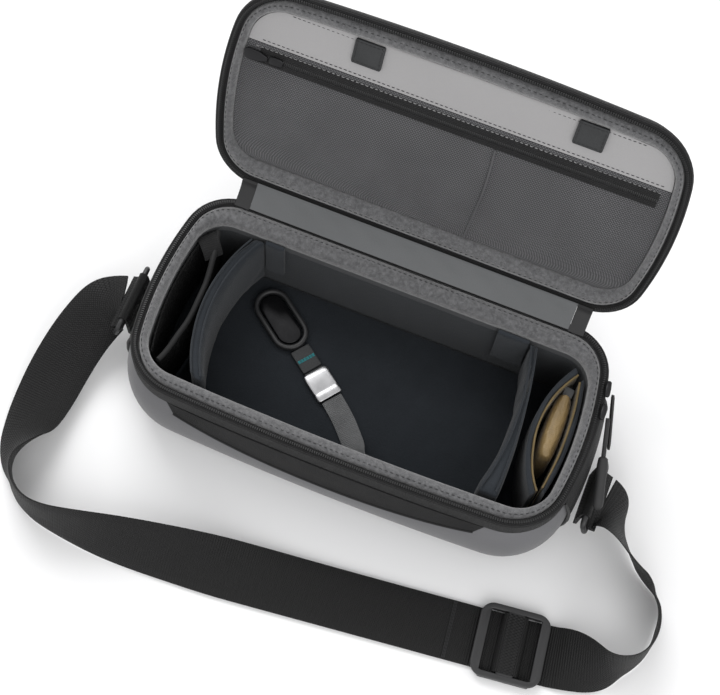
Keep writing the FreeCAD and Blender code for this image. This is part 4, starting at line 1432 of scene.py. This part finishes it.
# ---- Key leash
# Heather-grey webbing runs from under the right divider to a crimped steel ferrule. A dark
# hide tab joins it to an oval snap hook whose gate is a polished plate.
leash_web = woven("heather_leash_webbing", (0.085, 0.087, 0.090), (0.245, 0.248, 0.250), rib=.0014)
LEASH_RUN = [
    ((-.0215, -.0166, .0195), (.6, .8, 0)), ((-.008, -.027, .0192), (.65, .75, .1)),
    ((.007, -.044, .020), (.55, .8, .15)), ((.020, -.059, .0264), (.1, .25, .96)),
    ((.042, -.065, .031), (0, .1, .99)), ((.062, -.0666, .043), (-.4, 0, .9)),
    ((.078, -.0666, .057), (-.5, 0, .85)), ((.093, -.0662, .069), (-.5, 0, .85)),
]
leash = ribbon("leash_band", LEASH_RUN, .0085, .0018, leash_web)
fixed(leash, "case", "leash_webbing")

laid = Matrix.Translation((-.033, -.008, .0173)) @ Matrix.Rotation(math.atan2(.6, -.8), 4, "Z")
steel = Finish("crimped_steel", Metallic=1.0, Roughness=0.3)
scratch = steel.noise(500.0, 3.0, 0.6, stretch=(.2, .2, 4))
steel.colour(steel.blend(scratch, (0.34, 0.34, 0.35), (0.62, 0.62, 0.63)))
steel.rough(0.22 + scratch * 0.22)
steel.relief(scratch, 0.0001, 0.5)
ferrule = loft("leash_ferrule_crimp", [
    (-.0130, .0098, .0022, .0026), (-.0122, .0104, .0026, .0026), (-.0070, .0105, .0026, .0026),
    (-.0060, .0102, .0023, .0026), (-.0050, .0105, .0026, .0026), (.0070, .0105, .0026, .0026),
    (.0105, .0100, .0025, .0026), (.0115, .0090, .0018, .0026)], steel.material, laid, power=6)
fixed(ferrule, "case", "leash_ferrule")
tongue = loft("leash_hide_tongue", slabbed(.0100, .0130, .0078, .0019, .0029, .0004), dark_leather,
              laid, power=8)
fixed(tongue, "case")
hide_tab = loft("leash_hide_tab", slabbed(.0137, .0338, .0082, .0007, .0041, .0010), dark_leather,
                laid, power=8)
fixed(hide_tab, "hook", "leash_tab")
teal = hard("teal_thread", (0.010, 0.19, 0.21), 0.55)
sewn("leash_tab_tack", [[laid @ Vector((.0225 + k * .0009, -.0062 + .0124 * i / 8, .0043))
                         for i in range(9)] for k in range(3)], "hook",
     spacing=.0022, material=teal)


def oval(u0, u1, half, height, steps=14):
    out = []
    for centre, start in ((u1 - half, -.5), (u0 + half, .5)):
        for i in range(steps + 1):
            turn = math.pi * (start + i / steps)
            out.append(laid @ Vector((centre + half * math.cos(turn), half * math.sin(turn),
                                      height)))
    return out


hook_section = [(math.copysign(abs(math.cos(a)) ** .7, math.cos(a)) * .0022,
                 math.copysign(abs(math.sin(a)) ** .7, math.sin(a)) * .0030)
                for a in [math.pi * i / 8 for i in range(16)]]
hook = tube("leash_oval_hook", oval(.0364, .0878, .0128, .0033), ring_plastic,
            section=hook_section, up=Vector((0, 0, 1)))
fixed(hook, "hook", "leash_hook")
plate = [(.0402 + .0444 * (1 - math.cos(math.pi * i / 24)) / 2) for i in range(25)]
stations = []
for u in plate:
    end = max(0.0, .0498 - u, u - .0750)
    wide = math.sqrt(max(.0096 ** 2 - end ** 2, .0006 ** 2))
    stations.append((u, wide, .0014 * min(1.0, .55 + wide / .008), .0031))
polished = hard("polished_black_plate", (0.010, 0.010, 0.011), 0.12, metal=0.7)
gate = loft("leash_gate_plate", stations, polished, laid, power=7)
fixed(gate, "hook_gate", "leash_gate")


# ---- Main zip's sliders and pullers
# Two painted sliders sit at the right end. The front one has a cord with a moulded grip, the
# rear one a rubber tab, and both hang down beside the bag.
END_R = (.080 ** 2 + .012 ** 2) / .024
END_C = .171 - END_R


def beside_end(y, outset, z):
    turn = math.asin(y / END_R)
    return Vector((END_C + (END_R + outset) * math.cos(turn), (END_R + outset) * math.sin(turn), z))


def aimed(start, end):
    """Place a body built along X from one point towards another."""
    return Matrix.Translation(start) @ (end - start).to_track_quat("X", "Z").to_matrix().to_4x4()


rubber = hard("moulded_rubber", (0.010, 0.010, 0.0105), 0.62, grain=0.0001)
braid = woven("braided_cord", (0.008, 0.008, 0.008), (0.040, 0.040, 0.042), rib=.0012)
for word, y in (("front", .024), ("rear", .042)):
    seat = Matrix.Translation(beside_end(y, 0, 0)) @ Matrix.Rotation(
        math.asin(y / END_R) + math.pi / 2, 4, "Z")
    body = loft("main_slider_" + word, [
        (-.0060, .0012, .0014, .0939), (-.0050, .0019, .0019, .0939), (0, .0022, .0021, .0939),
        (.0050, .0020, .0019, .0939), (.0060, .0012, .0014, .0939)], black_metal,
        seat @ Matrix.Translation((0, -.0024, 0)))
    fixed(body, "slider_" + word, "zip_slider_" + word)

start, end = beside_end(.021, .007, .0925), Vector((.193, -.034, .0655))
split = start.lerp(end, .45)
cord = welt("front_puller_cord", [start.lerp(split, i / 10) for i in range(11)], .0017, braid,
            "puller_front")
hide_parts("puller_cord")
span = (end - split).length
grip = loft("front_puller_grip", [
    (0, .0024, .0024, 0), (.001, .0034, .0034, 0), (.006, .0040, .0040, 0),
    (span * .5, .0037, .0037, 0), (span - .003, .0040, .0040, 0), (span + .001, .0036, .0036, 0),
    (span + .003, .0022, .0022, 0), (span + .0038, .0006, .0006, 0)], rubber, aimed(split, end),
    power=2.4)
fixed(grip, "puller_front", "puller_grip")
start, end = beside_end(.039, .007, .0925), Vector((.1865, .006, .074))
tab = loft("rear_puller_tab", [(0, .0008, .0022, 0), (.002, .0010, .0031, 0),
                               (.010, .0010, .0035, 0),
                               ((end - start).length - .004, .0010, .0035, 0),
                               ((end - start).length, .0007, .0022, 0)], rubber,
           aimed(start, end), power=5)
fixed(tab, "puller_rear", "puller_tab")


# ---- Last soft details
# A grey pull loop on the pouch, and the stitched line that holds the felt on both rims.
loop_run = [((.1450, .0335, .0730), (1, 0, 0)), ((.1452, .0375, .0738), (1, 0, 0)),
            ((.1455, .0405, .0735), (1, 0, 0))]
pouch_loop = ribbon("pouch_pull_loop", loop_run, .0036, .0013, grey_gusset, cross=4)
fixed(pouch_loop, "pouch_body", "pouch_tab")
edge, wall = rim_line(RIM, -.0043), rim_line(INSIDE, 0.0)
for word, lid in (("body", False), ("lid", True)):
    ring = [(x, y, .0935) for x, y in between(edge, wall, .30)]
    line = [(x, y, 2 * PARTING - z) for x, y, z in ring + ring[:1]] if lid else ring + ring[:1]
    sewn(word + "_felt_stitches", [line], "lid" if lid else "case", lid=lid, spacing=.0042,
         material=dark_thread)
drop(stitch)
